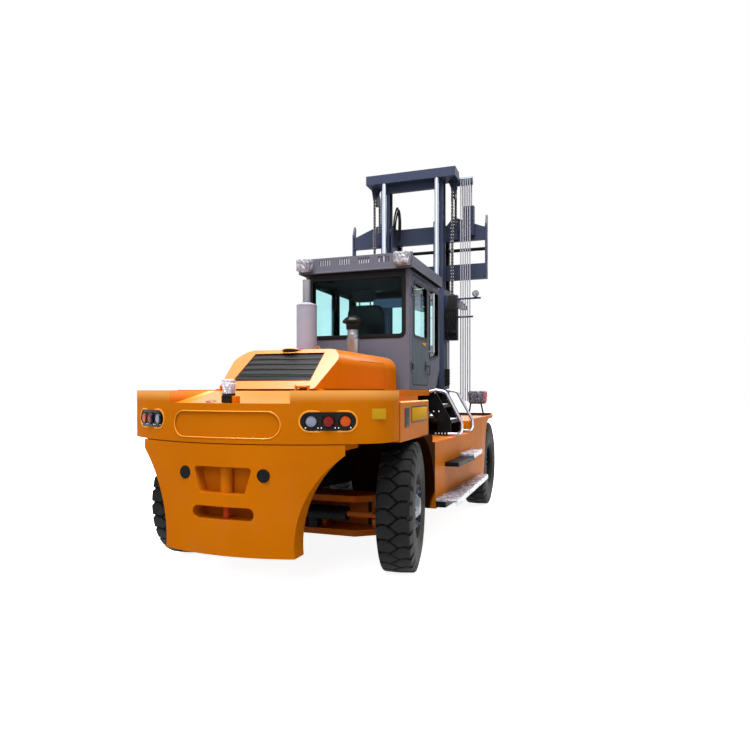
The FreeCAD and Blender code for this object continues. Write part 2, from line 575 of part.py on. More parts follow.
def tail_plan(name, low, high, inset="0"):
    """The tail seen from above, a large arc with rounded corners, as a solid between two heights."""
    arc = "(TailArc - (%s))" % inset
    corner = "(TailCorner - (%s))" % inset
    ratio = "(%s / (TailArc - TailCorner))" % arc
    start_x = "CornerX * " + ratio
    start_y = "TailCentreY + (CornerY - TailCentreY) * " + ratio
    side = "BandHalf - (%s)" % inset
    right = [(start_x, start_y), (side, "CornerY"), (side, aft("BandAft") + " - (%s)" % inset, "60")]
    return extrude(name, "XY", low, high, mirrored_profile(right),
                   {0: (corner, 1), 4: (corner, 1), 5: (arc, 1)})


def counterweight():
    """Cast tail: wide band over a waisted skirt, with tow pocket, slot and lamp recesses."""
    band = tail_plan("Band", "BandBottom", "BandTop")
    neck = tail_plan("Neck", "SkirtTop - 40", "BandBottom + 40", "26")
    skirt_side = extrude("SkirtSide", "XZ", "RearY - 20", aft("SkirtAft"), mirrored_profile([
        ("SkirtBottomHalf", "SkirtBottom"), ("SkirtTopHalf", "FlankTop"), ("SkirtTopHalf", "SkirtTop")]),
        {0: ("FlankRadius", -1), 4: ("FlankRadius", -1)})
    skirt = common("Skirt", skirt_side, tail_plan("SkirtPlan", "SkirtBottom - 10", "SkirtTop + 10"))
    neck_cut = common("NeckInSkirt", neck, extrude(
        "NeckSide", "XZ", "RearY - 20", aft("KeelAft"), [
            ("-SkirtTopHalf + 24", "SkirtTop - 50"), ("SkirtTopHalf - 24", "SkirtTop - 50"),
            ("SkirtTopHalf - 24", "BandBottom + 50"), ("-SkirtTopHalf + 24", "BandBottom + 50")]))
    keel = extrude("Keel", "YZ", "-KeelHalf", "KeelHalf", [
        (aft("SkirtAft") + " - 100", "SkirtBottom"), (aft("SkirtAft"), "SkirtBottom + 10"),
        (aft("KeelAft"), "KeelBottom + 120"), (aft("KeelAft"), "SkirtTop"),
        (aft("SkirtAft") + " - 100", "SkirtTop")])
    boss = rod("TowBoss", "Z", "TowBossRadius", ("0", "RearY + TowPinIn", "SlotHigh - 40"),
               "PocketTop - SlotHigh + 80")
    pocket = extrude("TowPocket", "XZ", "RearY - 20", "RearY + PocketDepth", mirrored_profile([
        ("PocketBottomHalf", "PocketBottom", "24"), ("PocketTopHalf", "PocketTop", "24")]))
    slot_mid = "(SlotLow + SlotHigh) / 2"
    slot_round = "(SlotHigh - SlotLow) / 2 - 1"
    slot = extrude("TowSlot", "XZ", "RearY - 20", "RearY + SlotDepth", mirrored_profile([
        ("SlotHalf", "SlotLow", slot_round), ("SlotHalf", "SlotHigh", slot_round)]))
    deck_cut = extrude("DeckCut", "YZ", "-DeckCutHalf", "DeckCutHalf", [
        ("RearY - 20", "LipHigh"), ("RearY + 160", "LipHigh"), (aft("DeckCutFore"), "BandTop - 4"),
        (aft("BandAft") + " + 20", "BandTop - 4"), (aft("BandAft") + " + 20", "BandTop + 40"),
        ("RearY - 20", "BandTop + 40")])
    plate_round = "(PlateHigh - PlateLow) / 2 - 1"
    plate = cut("PlateRecess", extrude("PlateShape", "XZ", "RearY - 20", "RearY + 140", mirrored_profile([
        ("PlateHalf", "PlateLow", plate_round), ("PlateHalf", "PlateHigh", plate_round)])),
        rod("PlateFloor", "Z", "TailArc - PlateDepth", ("0", "TailCentreY", "PlateLow - 10"),
            "PlateHigh - PlateLow + 20"))
    plugs = [rod("Plug%d" % i, "Y", "PlugRadius", ("%d * PlugX" % s, "RearY - 20", "PlugZ"),
                 "20 + PlugDepth + TailArc - sqrt(TailArc^2 - PlugX^2)") for i, s in ((0, 1), (1, -1))]
    lamps = [turned("LampRecess%d" % i, lamp_block("LampRecessShape%d" % i, "Seat", "TailArc + 30"),
                    "%d * LampTurn" % s, "0", "TailCentreY", "LampZ") for i, s in ((0, 1), (1, -1))]
    whole = fuse("TailCasting", band, neck_cut, skirt, keel)
    hollow = cut("TailHollow", whole, pocket, slot, deck_cut, plate, *plugs, *lamps)
    pin_bore = rod("TowBore", "Z", "TowPinRadius + Seat", ("0", "RearY + TowPinIn", "SlotLow - 40"),
                   "PocketTop - SlotLow + 40 - 20")
    boss_cut = cut("TowBossCut", boss, block("TowBossSlot", ("-60", "RearY - 60", "SlotLow"),
                                             ("60", "RearY + 200", "SlotHigh")))
    node(cut("Tail", fuse("TailWithBoss", hollow, boss_cut), pin_bore), "counterweight")
    node(group("TailPlugs", *[rod("TailPlug%d" % i, "Y", "PlugRadius - Seat", ("%d * PlugX" % s,
        "RearY + TailArc - sqrt(TailArc^2 - PlugX^2) - 4", "PlugZ"), "PlugDepth + 4 - Seat") for i, s in ((0,
        1), (1, -1))]), "tail_plugs")
    node(rod("TowPin", "Z", "TowPinRadius", ("0", "RearY + TowPinIn", "SlotLow - 40 + Seat"),
             "PocketTop - SlotLow + 40 - 20 - 2 * Seat"), "tow_pin")


def lamp_block(name, grow, outer):
    """The lamp cluster's round-ended shape, looking along local -Y from the tail's centre."""
    half, high = "LampHalf + (%s)" % grow, "LampHigh / 2 + (%s)" % grow
    round_off = "LampHigh / 2 - 1"
    return extrude(name, "XZ", "-(%s)" % outer, "LampDepth + (%s) - TailArc" % grow, mirrored_profile([
        (half, "-(%s)" % high, round_off), (half, high, round_off)]))


def rear_lamps():
    """Black lamp cluster on each rear corner with three round lenses."""
    sets = []
    for i, s in ((0, 1), (1, -1)):
        housing = common("LampHousing%d" % i, lamp_block("LampShape%d" % i, "0", "TailArc + 10"),
                         rod("LampFace%d" % i, "Z", "TailArc - 3", ("0", "0", "-LampHigh"), "2 * LampHigh"))
        lenses = [rod("Lens%d%d" % (i, k), "Y", "LensRadius", ("%d * LensPitch" % (k - 1),
                      "-TailArc + 10 * %d - LensProud" % abs(k - 1), "0"), "30") for k in range(3)]
        sets.append(turned("LampSet%d" % i, fuse("LampCluster%d" % i, housing, *lenses),
                           "%d * LampTurn" % s, "0", "TailCentreY", "LampZ"))
    node(group("RearLamps", *sets), "rear_lamps")


def beacon():
    """Wrapped beacon on its stand in the tail's recess."""
    y = aft("BeaconY")
    stand = block("BeaconStand", ("-BeaconBaseHalf", y + " - 40", "LipHigh + Seat"),
                  ("BeaconBaseHalf", y + " + 40", "LipHigh + BeaconBaseHigh"))
    lamp = rod("BeaconLamp", "Z", "BeaconRadius", ("0", y, "LipHigh + BeaconBaseHigh"), "BeaconHigh")
    node(fuse("Beacon", stand, lamp), "beacon")


# ---------------------------------------------------------------- frame and side bodies

def frame():
    """Two side plates from the tail to the mast, cross plates, deck and mast pins."""
    rear, nose, face = aft("KeelAft") + " + Seat", fore("TiltFore + 25"), fore("TiltFore - 45")
    tail = aft("BandAft") + " + Seat"
    profile = [
        (rear, "FrameLow + 90"), (aft("Wheelbase - 500"), "FrameLow"), (aft("260"), "FrameAxleGap"),
        (fore("190"), "FrameAxleGap"), (fore("250"), "TiltZ - 60"), (nose, "TiltZ - 60", "30"),
        (nose, "TiltZ + 35", "12"), (face, "TiltZ + 80"), (face, "FrameNoseHigh", "60"),
        (aft("FrameDropAft"), "FrameNoseHigh"), (aft("FrameDropAft + 60"), "DeckUnder"),
        (tail, "DeckUnder"), (tail, "BandBottom - Seat"), (rear, "BandBottom - Seat")]
    items = []
    for i, s in ((0, 1), (1, -1)):
        low = "FrameHalf - FramePlate" if s > 0 else "-FrameHalf"
        high = "FrameHalf" if s > 0 else "FramePlate - FrameHalf"
        items.append(extrude("FrameSide%d" % i, "YZ", low, high, profile))
        tip = "FrameHalf - 60" if s > 0 else "-(FrameHalf + 112)"
        items.append(rod("MastPin%d" % i, "X", "TiltPinRadius", (tip, fore("TiltFore"), "TiltZ"), "172"))
        inner = "FrameHalf - 10" if s > 0 else "-TiltCylX - 70"
        items.append(rod("TiltPinRear%d" % i, "X", "TiltPin", (inner, aft("TiltRearAft"), "TiltRearZ"),
                         "TiltCylX + 70 - FrameHalf + 10"))
    web = "FrameHalf - 10"
    for i, (y, low, high) in enumerate(((aft("KeelAft - 40"), "FrameLow + 100", "BandBottom - 20"),
                                        (aft("2020"), "FrameLow + 20", "DeckUnder"),
                                        (aft("560"), "FrameAxleGap + 20", "DeckUnder"),
                                        (fore("300"), "TiltZ + 140", "FrameNoseHigh - 40"))):
        items.append(block("FrameCross%d" % i, ("-(%s)" % web, y, low), (web, y + " + 36", high)))
    items.append(block("AxleSaddle", ("-(%s)" % web, "RearAxleY - 150", "FrameLow + 90 + Seat"),
                       (web, "RearAxleY + 110", "FrameLow + 130")))
    deck = block("DeckPlate", ("-DeckHalf", aft("BandAft") + " + Seat", "DeckUnder + Seat"),
                 ("DeckHalf", aft("CabFore + 40"), "DeckTop"))
    bay = block("DeckBay", ("-BayHalf", aft("BayAft"), "DeckUnder - 10"),
                ("BayHalf", aft("BayFore"), "DeckTop + 10"))
    corners = [block("DeckCorner%d" % i, ("CabHalf + 12" if s > 0 else "-DeckHalf - 10",
                     aft("StairAft + 45"), "DeckUnder - 10"),
                     ("DeckHalf + 10" if s > 0 else "-CabHalf - 12", aft("CabFore - 40"), "DeckTop + 10"))
               for i, s in ((0, 1), (1, -1))]
    node(cut("Deck", deck, bay, *corners), "deck")
    node(fuse("Frame", *items), "frame")
    feet = [block("EngineFoot%d" % i, ("Seat + FramePlate - FrameHalf", aft(y), "EngineLow + 120"),
                  ("FrameHalf - FramePlate - Seat", aft(y + " - 120"), "EngineLow + 220"))
            for i, y in enumerate(("EngineAft - 80", "EngineFore + 220"))]
    node(fuse("Engine", block("EngineBlock", ("-EngineHalf", aft("EngineAft"), "EngineLow"),
                              ("EngineHalf", aft("EngineFore"), "EngineHigh")), *feet), "engine")


def side_body():
    """Right side body: box over the rear wheel, waisted tank with both arches, and front fender."""
    under = "FenderTop - FenderThick"
    panel = extrude("SidePanel", "YZ", "SideInner", "SideFrontX + 30", [(aft("PanelAft"), "SideLow"),
        (aft("PanelFore"), "SideLow - 20"), (aft("PanelFore - ArchLean"), under, "FenderRound"),
        (fore("FenderEnd - 60"), under), (fore("FenderEnd"), under + " + FenderLip - 8"),
        (fore("FenderEnd + 6"), "FenderTop + FenderLip"), (fore("FenderEnd - 40"), "FenderTop"),
        (aft("FenderAft"), "FenderTop", "40"), (aft("FenderAft"), "SideTopZ", "40"), (aft("BoxFore - 40"),
        "SideTopZ"), (aft("BoxFore - 40"), "ArchHigh"), (aft("Wheelbase + 40"), "ArchHigh")],
        {11: ("ArchRadius", -1)})
    plan = extrude("SidePlan", "XY", "SideLow - 60", "FenderTop + 60", [
        ("SideInner", aft("Wheelbase + 60")), ("SideRearX", aft("Wheelbase + 60")),
        ("SideRearX", aft("PanelAft")), ("SideFrontX", aft("PanelFore + 100")),
        ("SideFrontX + 20", fore("FenderEnd + 60")), ("SideInner", fore("FenderEnd + 60"))])
    box = block("SideBox", ("SideInner", aft("BandAft") + " + Seat", "BoxLow"),
                ("BoxX", aft("BoxFore"), "BoxHigh"))
    shelf = block("SideShelf", ("SideInner", aft("BandAft") + " + Seat", "BoxLow + 10"),
                  ("ShelfX", aft("ShelfFore"), "DeckUnder - Seat"))
    well = place(revolve("SteerWell", "Z", [
        ("0", "-30"), ("WellRadius", "-30"), ("WellRadius", "TyreRadius + 40"), ("WellTop", "BoxLow - 1"),
        ("0", "BoxLow - 1")], {2: ("WellRadius + 40", 1)}), "KingpinX", "RearAxleY")
    bay = block("TwinBay", ("SideInner - 5", aft("PanelFore - 30"), "SideLow - 60"),
                ("640", fore("FenderEnd + 60"), "FenderTop + 10"))
    cylinder_bay = block("TiltBay", ("SideInner - 5", aft("PanelFore + 60"), "TiltRearZ - 120"),
                         ("TiltCylX + 80", aft("PanelFore - 10"), "FenderTop + 10"))
    shaped = common("SideShaped", panel, plan)
    return cut("SideBody", fuse("SideSet", shaped, box, shelf), well, bay, cylinder_bay)


def boards():
    """Running board and step on the right side panel, both wrapped in film."""
    def shelf(name, low, high, out, rear, bend, front):
        """A shelf along the side panel's flare; past the bend it narrows towards its front end."""
        slope = "(SideFrontX - SideRearX) / (PanelAft - PanelFore - 100)"

        def skin(at, past):
            return "SideRearX + (PanelAft - (%s)) * %s + %s" % (at, slope, past)
        far = "min(%s; PanelAft)" % rear
        return extrude(name, "XY", low, high, [(skin(far, "Seat"), aft(far)), (skin(far, out), aft(far),
            "20"), (skin(bend, out), aft(bend), "30"), (skin(front, out + " / 4"), aft(front)), (skin(front,
            "Seat"), aft(front))])
    return (shelf("RunningBoard", "BoardLow", "BoardHigh", "BoardOut", "BoardAft", "BoardTaper + 500",
        "BoardFore + 60"), shelf("MiddleStep", "StepLow", "StepHigh", "StepOut", "StepAft",
        "StepFore + StepTaper", "StepFore"))


def stairs():
    """Right stair: two side plates that lean outwards, head plate and two treads."""
    side = [("StairHeadX", "DeckTop + 2"), ("StairHeadX", "DeckTop - 70"), ("StairHeadX + 120",
        "DeckTop - 90"), ("StairFootX - 120", "StairFootZ + 170"), ("StairFootX - 120", "StairFootZ"),
        ("StairFootX + 30", "StairFootZ"), ("StairFootX + 30", "StairFootZ + 60"), ("StairFootX + 20",
        "StairFootZ + 190"), ("StairHeadX + 330", "DeckTop + 2")]
    items = [extrude("StairSide%d" % i, "XZ", low, low + " + StairPlate", side)
             for i, low in enumerate((aft("StairAft"), aft("StairFore") + " - StairPlate"))]
    rise = "(DeckTop - StairFootZ) / 3"
    for i in range(2):
        x = "StairHeadX + 290 + %d * 110" % i
        z = "DeckTop - %d * %s" % (i + 1, rise)
        items.append(block("StairTread%d" % i, (x + " - TreadDeep / 2", aft("StairAft") + " + 5",
                                                z + " - TreadThick"),
                           (x + " + TreadDeep / 2", aft("StairFore") + " - 5", z)))
    items.append(block("StairHead", ("StairHeadX", aft("StairAft") + " + 5", "DeckTop - 25"),
                       ("StairHeadX + 300", aft("StairFore") + " - 5", "DeckTop + 2")))
    return fuse("Stair", *items)


def tube(name, level, radius, points):
    """A round tube along a path with rounded corners in a plane across Y."""
    body = new_body(name)
    path = outline(body, "XZ", "-(%s)" % level, points, closed=False)
    ring = body.newObject("Sketcher::SketchObject", name + "Ring")
    ring.AttachmentSupport = [(path, "Edge1")]
    ring.MapMode = "NormalToEdge"
    ring.addGeometry(Part.Circle(FreeCAD.Vector(), FreeCAD.Vector(0, 0, 1), number(radius)))
    ring.addConstraint(Sketcher.Constraint("Coincident", 0, 3, -1, 1))
    size = ring.addConstraint(Sketcher.Constraint("Radius", 0, number(radius)))
    bind(ring, "Constraints[%d]" % size, radius)
    pipe = body.newObject("PartDesign::AdditivePipe", name + "Pipe")
    pipe.Profile = ring
    pipe.Spine = (path, [])
    body.Tip = pipe
    return body


def handrails():
    """Two looped tubes beside the right stair."""
    loop = [("StairHeadX + 90", "DeckTop - 60"), ("StairHeadX + 350", "DeckTop - 20 + RailRadius", "50"),
            ("StairHeadX + 455", "DeckTop - 22", "60"), ("StairFootX + 150", "StairFootZ + 150", "60"),
            ("StairFootX + 150", "StairFootZ + 22", "60"), ("StairFootX", "StairFootZ + 22")]
    return [tube("Rail%d" % i, level, "RailRadius", loop)
            for i, level in enumerate((aft("StairAft + RailRadius") + " - Seat",
                                       aft("StairFore - RailRadius") + " + Seat"))]


def mirror_unit():
    """Right fender mirror, wrapped, on two legs."""
    head = block("MirrorHead", ("MirrorX - MirrorHalf", aft("MirrorAft + MirrorDeep / 2"), "MirrorLow"),
                 ("MirrorX + MirrorHalf", aft("MirrorAft - MirrorDeep / 2"), "MirrorHigh"))
    legs = [rod("MirrorLeg%d" % i, "Z", "MirrorLegRadius", ("MirrorX + %d * MirrorLegX" % s,
                aft("MirrorAft"), "FenderTop + Seat"), "MirrorLow - FenderTop + 10")
            for i, s in ((0, 1), (1, -1))]
    return fuse("MirrorUnit", head, *legs)


# ---------------------------------------------------------------- hood and stacks

def hood_shell(name, side, rear, front, base, inset="0"):
    """A hood length: its side outline, met by a section with rounded shoulders."""
    half = "HoodHalf - %s" % inset
    section = extrude(name + "Section", "XZ", rear, front, mirrored_profile([
        (half, base), (half, "HoodHigh - %s" % inset, "HoodRound - %s" % inset)]))
    return common(name, extrude(name + "Side", "YZ", "-HoodHalf - 5", "HoodHalf + 5", side), section)


def hood_plan(name, inset="0"):
    """The hood seen from above, narrower at its tail."""
    rear = aft("HoodAft - %s" % inset)
    bend = aft("HoodAft - HoodTaper")
    return extrude(name, "XY", "HoodBase - 20", "HoodHigh + 20", mirrored_profile([
        ("HoodRearHalf - %s" % inset, rear, "30"), ("HoodHalf - %s" % inset, bend, "300"),
        ("HoodHalf - %s" % inset, aft("HoodFore - 5"))]))


def hood():
    """Tilting hood with the louvred grille in its sloping tail."""
    slope = [(aft("HoodAft"), "HoodBase"), (aft("HoodFore"), "HoodBase"), (aft("HoodFore"), "HoodHigh"),
             (aft("HoodSlopeTop"), "HoodHigh")]
    outer = common("HoodSkin", hood_shell("HoodOuter", slope, aft("HoodAft + 10"), aft("HoodFore"),
        "HoodBase"), hood_plan("HoodPlan"))
    inner = common("HoodCore", hood_shell("HoodInner", [(aft("HoodAft - HoodWall * 1.6"), "HoodBase - 10"),
        (aft("HoodFore + HoodWall"), "HoodBase - 10"), (aft("HoodFore + HoodWall"), "HoodHigh - HoodWall"),
        (aft("HoodSlopeTop - HoodWall * 0.5"), "HoodHigh - HoodWall")], aft("HoodAft + 10"), aft("HoodFore"),
        "HoodBase - 10", "HoodWall"), hood_plan("HoodCorePlan", "HoodWall"))
    ring_y = aft("HoodSlopeTop - 42")
    ring = rod("HoodRing", "Z", "OvalRadius + 24", ("0", ring_y, "GrilleHigh - 2"),
        "HoodHigh + 5 - GrilleHigh + 2")
    ring_hole = rod("HoodRingHole", "Z", "OvalRadius", ("0", ring_y, "GrilleHigh - 10"),
        "HoodHigh + 20 - GrilleHigh")
    grooves = both("HoodGrooves", block("HoodGroove", ("HoodHalf - 20", aft("HoodFore + 720"),
        "HoodGrooveZ"), ("HoodHalf + 10", aft("HoodFore - 5"), "HoodGrooveZ + 7")))
    window = extrude("GrilleWindow", "XZ", aft("HoodAft"), aft("HoodSlopeTop - 150"), mirrored_profile([
        ("GrilleLowHalf", "GrilleLow"), ("GrilleTopHalf", "GrilleHigh")]))
    tabs = []
    for i, s in ((0, 1), (1, -1)):
        x = "%d * HingeX - HingeLong / 2" % s
        tabs.append(cut("HoodTab%d" % i, fuse("HoodTabSet%d" % i, rod("HoodKnuckle%d" % i, "X",
            "HingeRadius", (x, aft("HingeBack"), "HingeZ"), "HingeLong"), block("HoodLeaf%d" % i, (x,
            aft("HingeBack"), "HingeZ - 2"), (x + " + HingeLong", aft("HoodAft - 36"), "HingeZ + 9"))),
            rod("HoodPinBore%d" % i, "X", "HingeRadius / 2 + Seat", (x + " - 5", aft("HingeBack"), "HingeZ"),
            "HingeLong + 10")))
    shell = cut("HoodHollow", outer, inner, window, grooves)
    node(fuse("Hood", cut("HoodRinged", fuse("HoodWithRing", shell, ring), ring_hole), *tabs), "hood")
    lean = "(HoodAft - HoodSlopeTop) / (HoodHigh - HoodBase)"
    slats = []
    count = 5
    for i in range(count):
        z = "GrilleLow + 8 + (GrilleHigh - GrilleLow - 16) * %d / %d" % (i, count)
        y = aft("HoodAft - ((%s) - HoodBase) * %s - 12" % (z, lean))
        rise = "(%s + SlatHigh - GrilleLow) / (GrilleHigh - GrilleLow)" % z
        half = "GrilleLowHalf - (GrilleLowHalf - GrilleTopHalf) * %s - Seat" % rise
        slats.append(extrude("Slat%d" % i, "YZ", "-(%s)" % half, half, [
            (y, z), (y + " + 22", z), (y + " + 92", z + " + SlatHigh"),
            (y + " + 74", z + " + SlatHigh"), (y + " + 8", z + " + 12")]))
    floor = rod("HoodRingFloor", "Z", "OvalRadius - Seat", ("0", ring_y, "GrilleHigh + 4"), "5")
    node(group("Grille", *slats, floor), "hood_grille")
    brackets = []
    for i, s in ((0, 1), (1, -1)):
        x = "%d * HingeX" % s
        brackets.append(rod("HoodPin%d" % i, "X", "HingeRadius / 2", (x + " - HingeLong / 2 - 20",
            aft("HingeBack"), "HingeZ"), "HingeLong + 40"))
        for k, d in ((0, 1), (1, -1)):
            low = x + (" + HingeLong / 2 + 4" if d > 0 else " - HingeLong / 2 - 18")
            brackets.append(block("HoodEar%d%d" % (i, k), (low, aft("HingeBack + 12"), "BandTop - 4 + Seat"),
                                  (low + " + 14", aft("HingeBack - 12"), "HingeZ + 10")))
    pairs = [fuse("HoodBracket%d" % i, *brackets[i * 3:i * 3 + 3]) for i in range(2)]
    node(group("HoodBrackets", *pairs), "hood_hinges")


def cowl():
    """Fixed cowl between hood and cab, which the exhaust and intake come through."""
    outer = hood_shell("CowlOuter", [
        (aft("CowlAft"), "DeckTop + Seat"), (aft("CowlFore"), "DeckTop + Seat"),
        (aft("CowlFore"), "HoodHigh"), (aft("CowlAft"), "HoodHigh")],
        aft("CowlAft"), aft("CowlFore"), "DeckTop + Seat")
    inner = hood_shell("CowlInner", [(aft("CowlAft - HoodWall"), "DeckTop - 10"),
        (aft("CowlFore + HoodWall"), "DeckTop - 10"), (aft("CowlFore + HoodWall"), "HoodHigh - HoodWall"),
        (aft("CowlAft - HoodWall"), "HoodHigh - HoodWall")], aft("CowlAft"), aft("CowlFore"), "DeckTop - 10",
        "HoodWall")
    holes = [rod("MufflerHole", "Z", "MufflerRadius + 4", ("MufflerX", aft("MufflerAft"), "DeckTop - 20"),
        "500"), rod("IntakeHole", "Z", "IntakeRadius + Seat", ("IntakeX", aft("IntakeAft"),
        "HoodHigh - 100"), "150")]
    node(cut("Cowl", outer, inner, *holes), "cowl")


def stacks():
    """Upright muffler with tailpipe, and the air intake with its rain cap."""
    node(place(revolve("Muffler", "Z", [
        ("0", "DeckTop + Seat"), ("MufflerRadius", "DeckTop + Seat"), ("MufflerRadius", "MufflerHigh", "20"),
        ("TailpipeRadius", "MufflerHigh + 26"), ("TailpipeRadius", "TailpipeHigh"), ("0", "TailpipeHigh")]),
        "MufflerX", aft("MufflerAft")), "muffler")
    node(place(revolve("Intake", "Z", [("0", "DeckTop + Seat"), ("IntakeRadius", "DeckTop + Seat"),
        ("IntakeRadius", "IntakeHigh"), ("CapRadius - 40", "IntakeHigh + 4"), ("CapRadius",
        "IntakeHigh + 40"), ("CapRadius", "IntakeHigh + 58"), ("CapRadius - 30", "CapHigh - 12"), ("0",
        "CapHigh")]), "IntakeX", aft("IntakeAft")), "air_intake")


# ---------------------------------------------------------------- cab

def cab():
    """Hollow cab shell with window and door openings, its glass, roof, seat and controls."""
    side = [(aft("CabAft"), "CabBase"), (aft("CabChinFore"), "CabBase"), (aft("CabFore"), "CabChinZ"),
            (aft("CabBrowFore"), "CabHigh"), (aft("CabAft"), "CabHigh")]
    outer = extrude("CabOuter", "YZ", "-CabHalf", "CabHalf", side)
    inner = extrude("CabInner", "YZ", "CabWall - CabHalf", "CabHalf - CabWall", [(aft("CabAft - CabWall"),
        "CabBase + CabWall"), (aft("CabChinFore + CabWall * 0.3"), "CabBase + CabWall"),
        (aft("CabFore + CabWall"), "CabChinZ + CabWall * 0.3"), (aft("CabBrowFore + CabWall"),
        "CabHigh + 10"), (aft("CabAft - CabWall"), "CabHigh + 10")])
    rear = extrude("RearWindow", "XZ", aft("CabAft + 10"), aft("CabAft - CabWall - 10"), mirrored_profile([
        ("RearGlassHalf", "RearGlassLow", "40"), ("RearGlassHalf", "RearGlassHigh", "40")]))
    screen = extrude("ScreenWindow", "XZ", aft("CabFore + CabWall + 90"), aft("CabFore - 30"),
        mirrored_profile([("ScreenHalf", "ScreenLow", "40"), ("ScreenHalf", "ScreenHigh", "40")]))
    door_ways = extrude("DoorWays", "YZ", "-CabHalf - 10", "CabHalf + 10", [
        (aft("DoorAft"), "DoorLow", "50"), (aft("DoorFore"), "DoorLow", "50"),
        (aft("DoorFore"), "DoorHigh", "50"), (aft("DoorAft"), "DoorHigh", "50")])
    quarters = extrude("QuarterWindows", "YZ", "-CabHalf - 10", "CabHalf + 10", [
        (aft("QuarterAft"), "QuarterLow", "30"), (aft("QuarterFore"), "QuarterLow + 60", "30"),
        (aft("QuarterFore + 20"), "QuarterHigh", "30"), (aft("QuarterAft"), "QuarterHigh", "30")])
    node(cut("CabShell", outer, inner, rear, screen, door_ways, quarters), "cab_shell")
    mid = "CabWall / 2"
    rear_pane = extrude("RearPane", "XZ", aft("CabAft - " + mid), aft("CabAft - %s - GlassThick" % mid),
                        mirrored_profile([("RearGlassHalf - Seat", "RearGlassLow + Seat", "40"),
                                          ("RearGlassHalf - Seat", "RearGlassHigh - Seat", "40")]))
    lean = "(CabBrowFore - CabFore) / (CabHigh - CabChinZ)"
    screen_foot = "CabFore + CabWall / 2 + (ScreenLow - CabChinZ) * " + lean
    screen_head = "CabFore + CabWall / 2 + (ScreenHigh - CabChinZ) * " + lean
    screen_pane = common("ScreenPane", extrude("ScreenSlab", "YZ", "-CabHalf", "CabHalf", [(aft(screen_foot),
        "ScreenLow + Seat"), (aft(screen_foot + " - GlassThick"), "ScreenLow + Seat"),
        (aft(screen_head + " - GlassThick"), "ScreenHigh - Seat"), (aft(screen_head), "ScreenHigh - Seat")]),
        extrude("ScreenShape", "XZ", aft("CabFore + 200"), aft("CabFore - 30"),
        mirrored_profile([("ScreenHalf - Seat", "ScreenLow + Seat", "40"), ("ScreenHalf - Seat",
        "ScreenHigh - Seat", "40")])))
    quarter_points = [
        (aft("QuarterAft - Seat"), "QuarterLow + Seat", "30"),
        (aft("QuarterFore + Seat"), "QuarterLow + 60 + Seat", "30"),
        (aft("QuarterFore + 20 + Seat"), "QuarterHigh - Seat", "30"),
        (aft("QuarterAft - Seat"), "QuarterHigh - Seat", "30")]
    quarter_panes = both("QuarterPanes", extrude(
        "QuarterPane", "YZ", "CabHalf - %s - GlassThick" % mid, "CabHalf - " + mid, quarter_points))
    node(group("CabGlass", rear_pane, screen_pane, quarter_panes), "cab_glass")
    roof()
    seat_and_controls()
    door()


def roof():
    """Roof slab with a slotted parapet round it, and the two wrapped lamps on its rear corners."""
    skin = block("RoofSkin", ("-RoofHalf", aft("RoofAft"), "CabHigh + Seat"),
                 ("RoofHalf", aft("RoofFore"), "CabHigh + RoofSkin"))
    wall_low, wall_high = "CabHigh + RoofSkin - 1", "RoofHigh"
    walls = [block("RoofRear", ("-RoofHalf", aft("RoofAft"), wall_low),
                   ("RoofHalf", aft("RoofAft - RoofWall"), wall_high)),
             block("RoofFront", ("-RoofHalf", aft("RoofFore + RoofWall"), wall_low),
                   ("RoofHalf", aft("RoofFore"), wall_high + " - 60")),
             block("RoofRight", ("RoofHalf - RoofWall", aft("RoofAft"), wall_low),
                   ("RoofHalf", aft("RoofFore"), wall_high + " - 40")),
             block("RoofLeft", ("-RoofHalf", aft("RoofAft"), wall_low),
                   ("RoofWall - RoofHalf", aft("RoofFore"), wall_high + " - 40"))]
    slots = []
    for group_at in range(4):
        for i in range(5):
            x = "(%s) * RoofSlotGroup + %d * RoofSlotPitch" % (group_at - 1.5, i - 2)
            slots.append(block("RoofSlot%d_%d" % (group_at, i), (
                x + " - RoofSlotWide / 2", aft("RoofAft + 10"), "RoofSlotLow"),
                (x + " + RoofSlotWide / 2", aft("RoofAft - RoofWall - 10"), "RoofSlotHigh")))
    node(cut("RoofSlotted", fuse("Roof", skin, *walls), group("RoofSlots", *slots)), "cab_roof")
    lamps = [block("RoofLamp%d" % i, ("%d * RoofLampX - RoofLampLong / 2" % s,
                   aft("RoofAft + Seat + RoofLampDeep"), "RoofHigh - RoofLampHigh"),
                   ("%d * RoofLampX + RoofLampLong / 2" % s, aft("RoofAft + Seat"), "RoofHigh - 5"))
             for i, s in ((0, 1), (1, -1))]
    node(group("RoofLamps", *lamps), "roof_lamps")


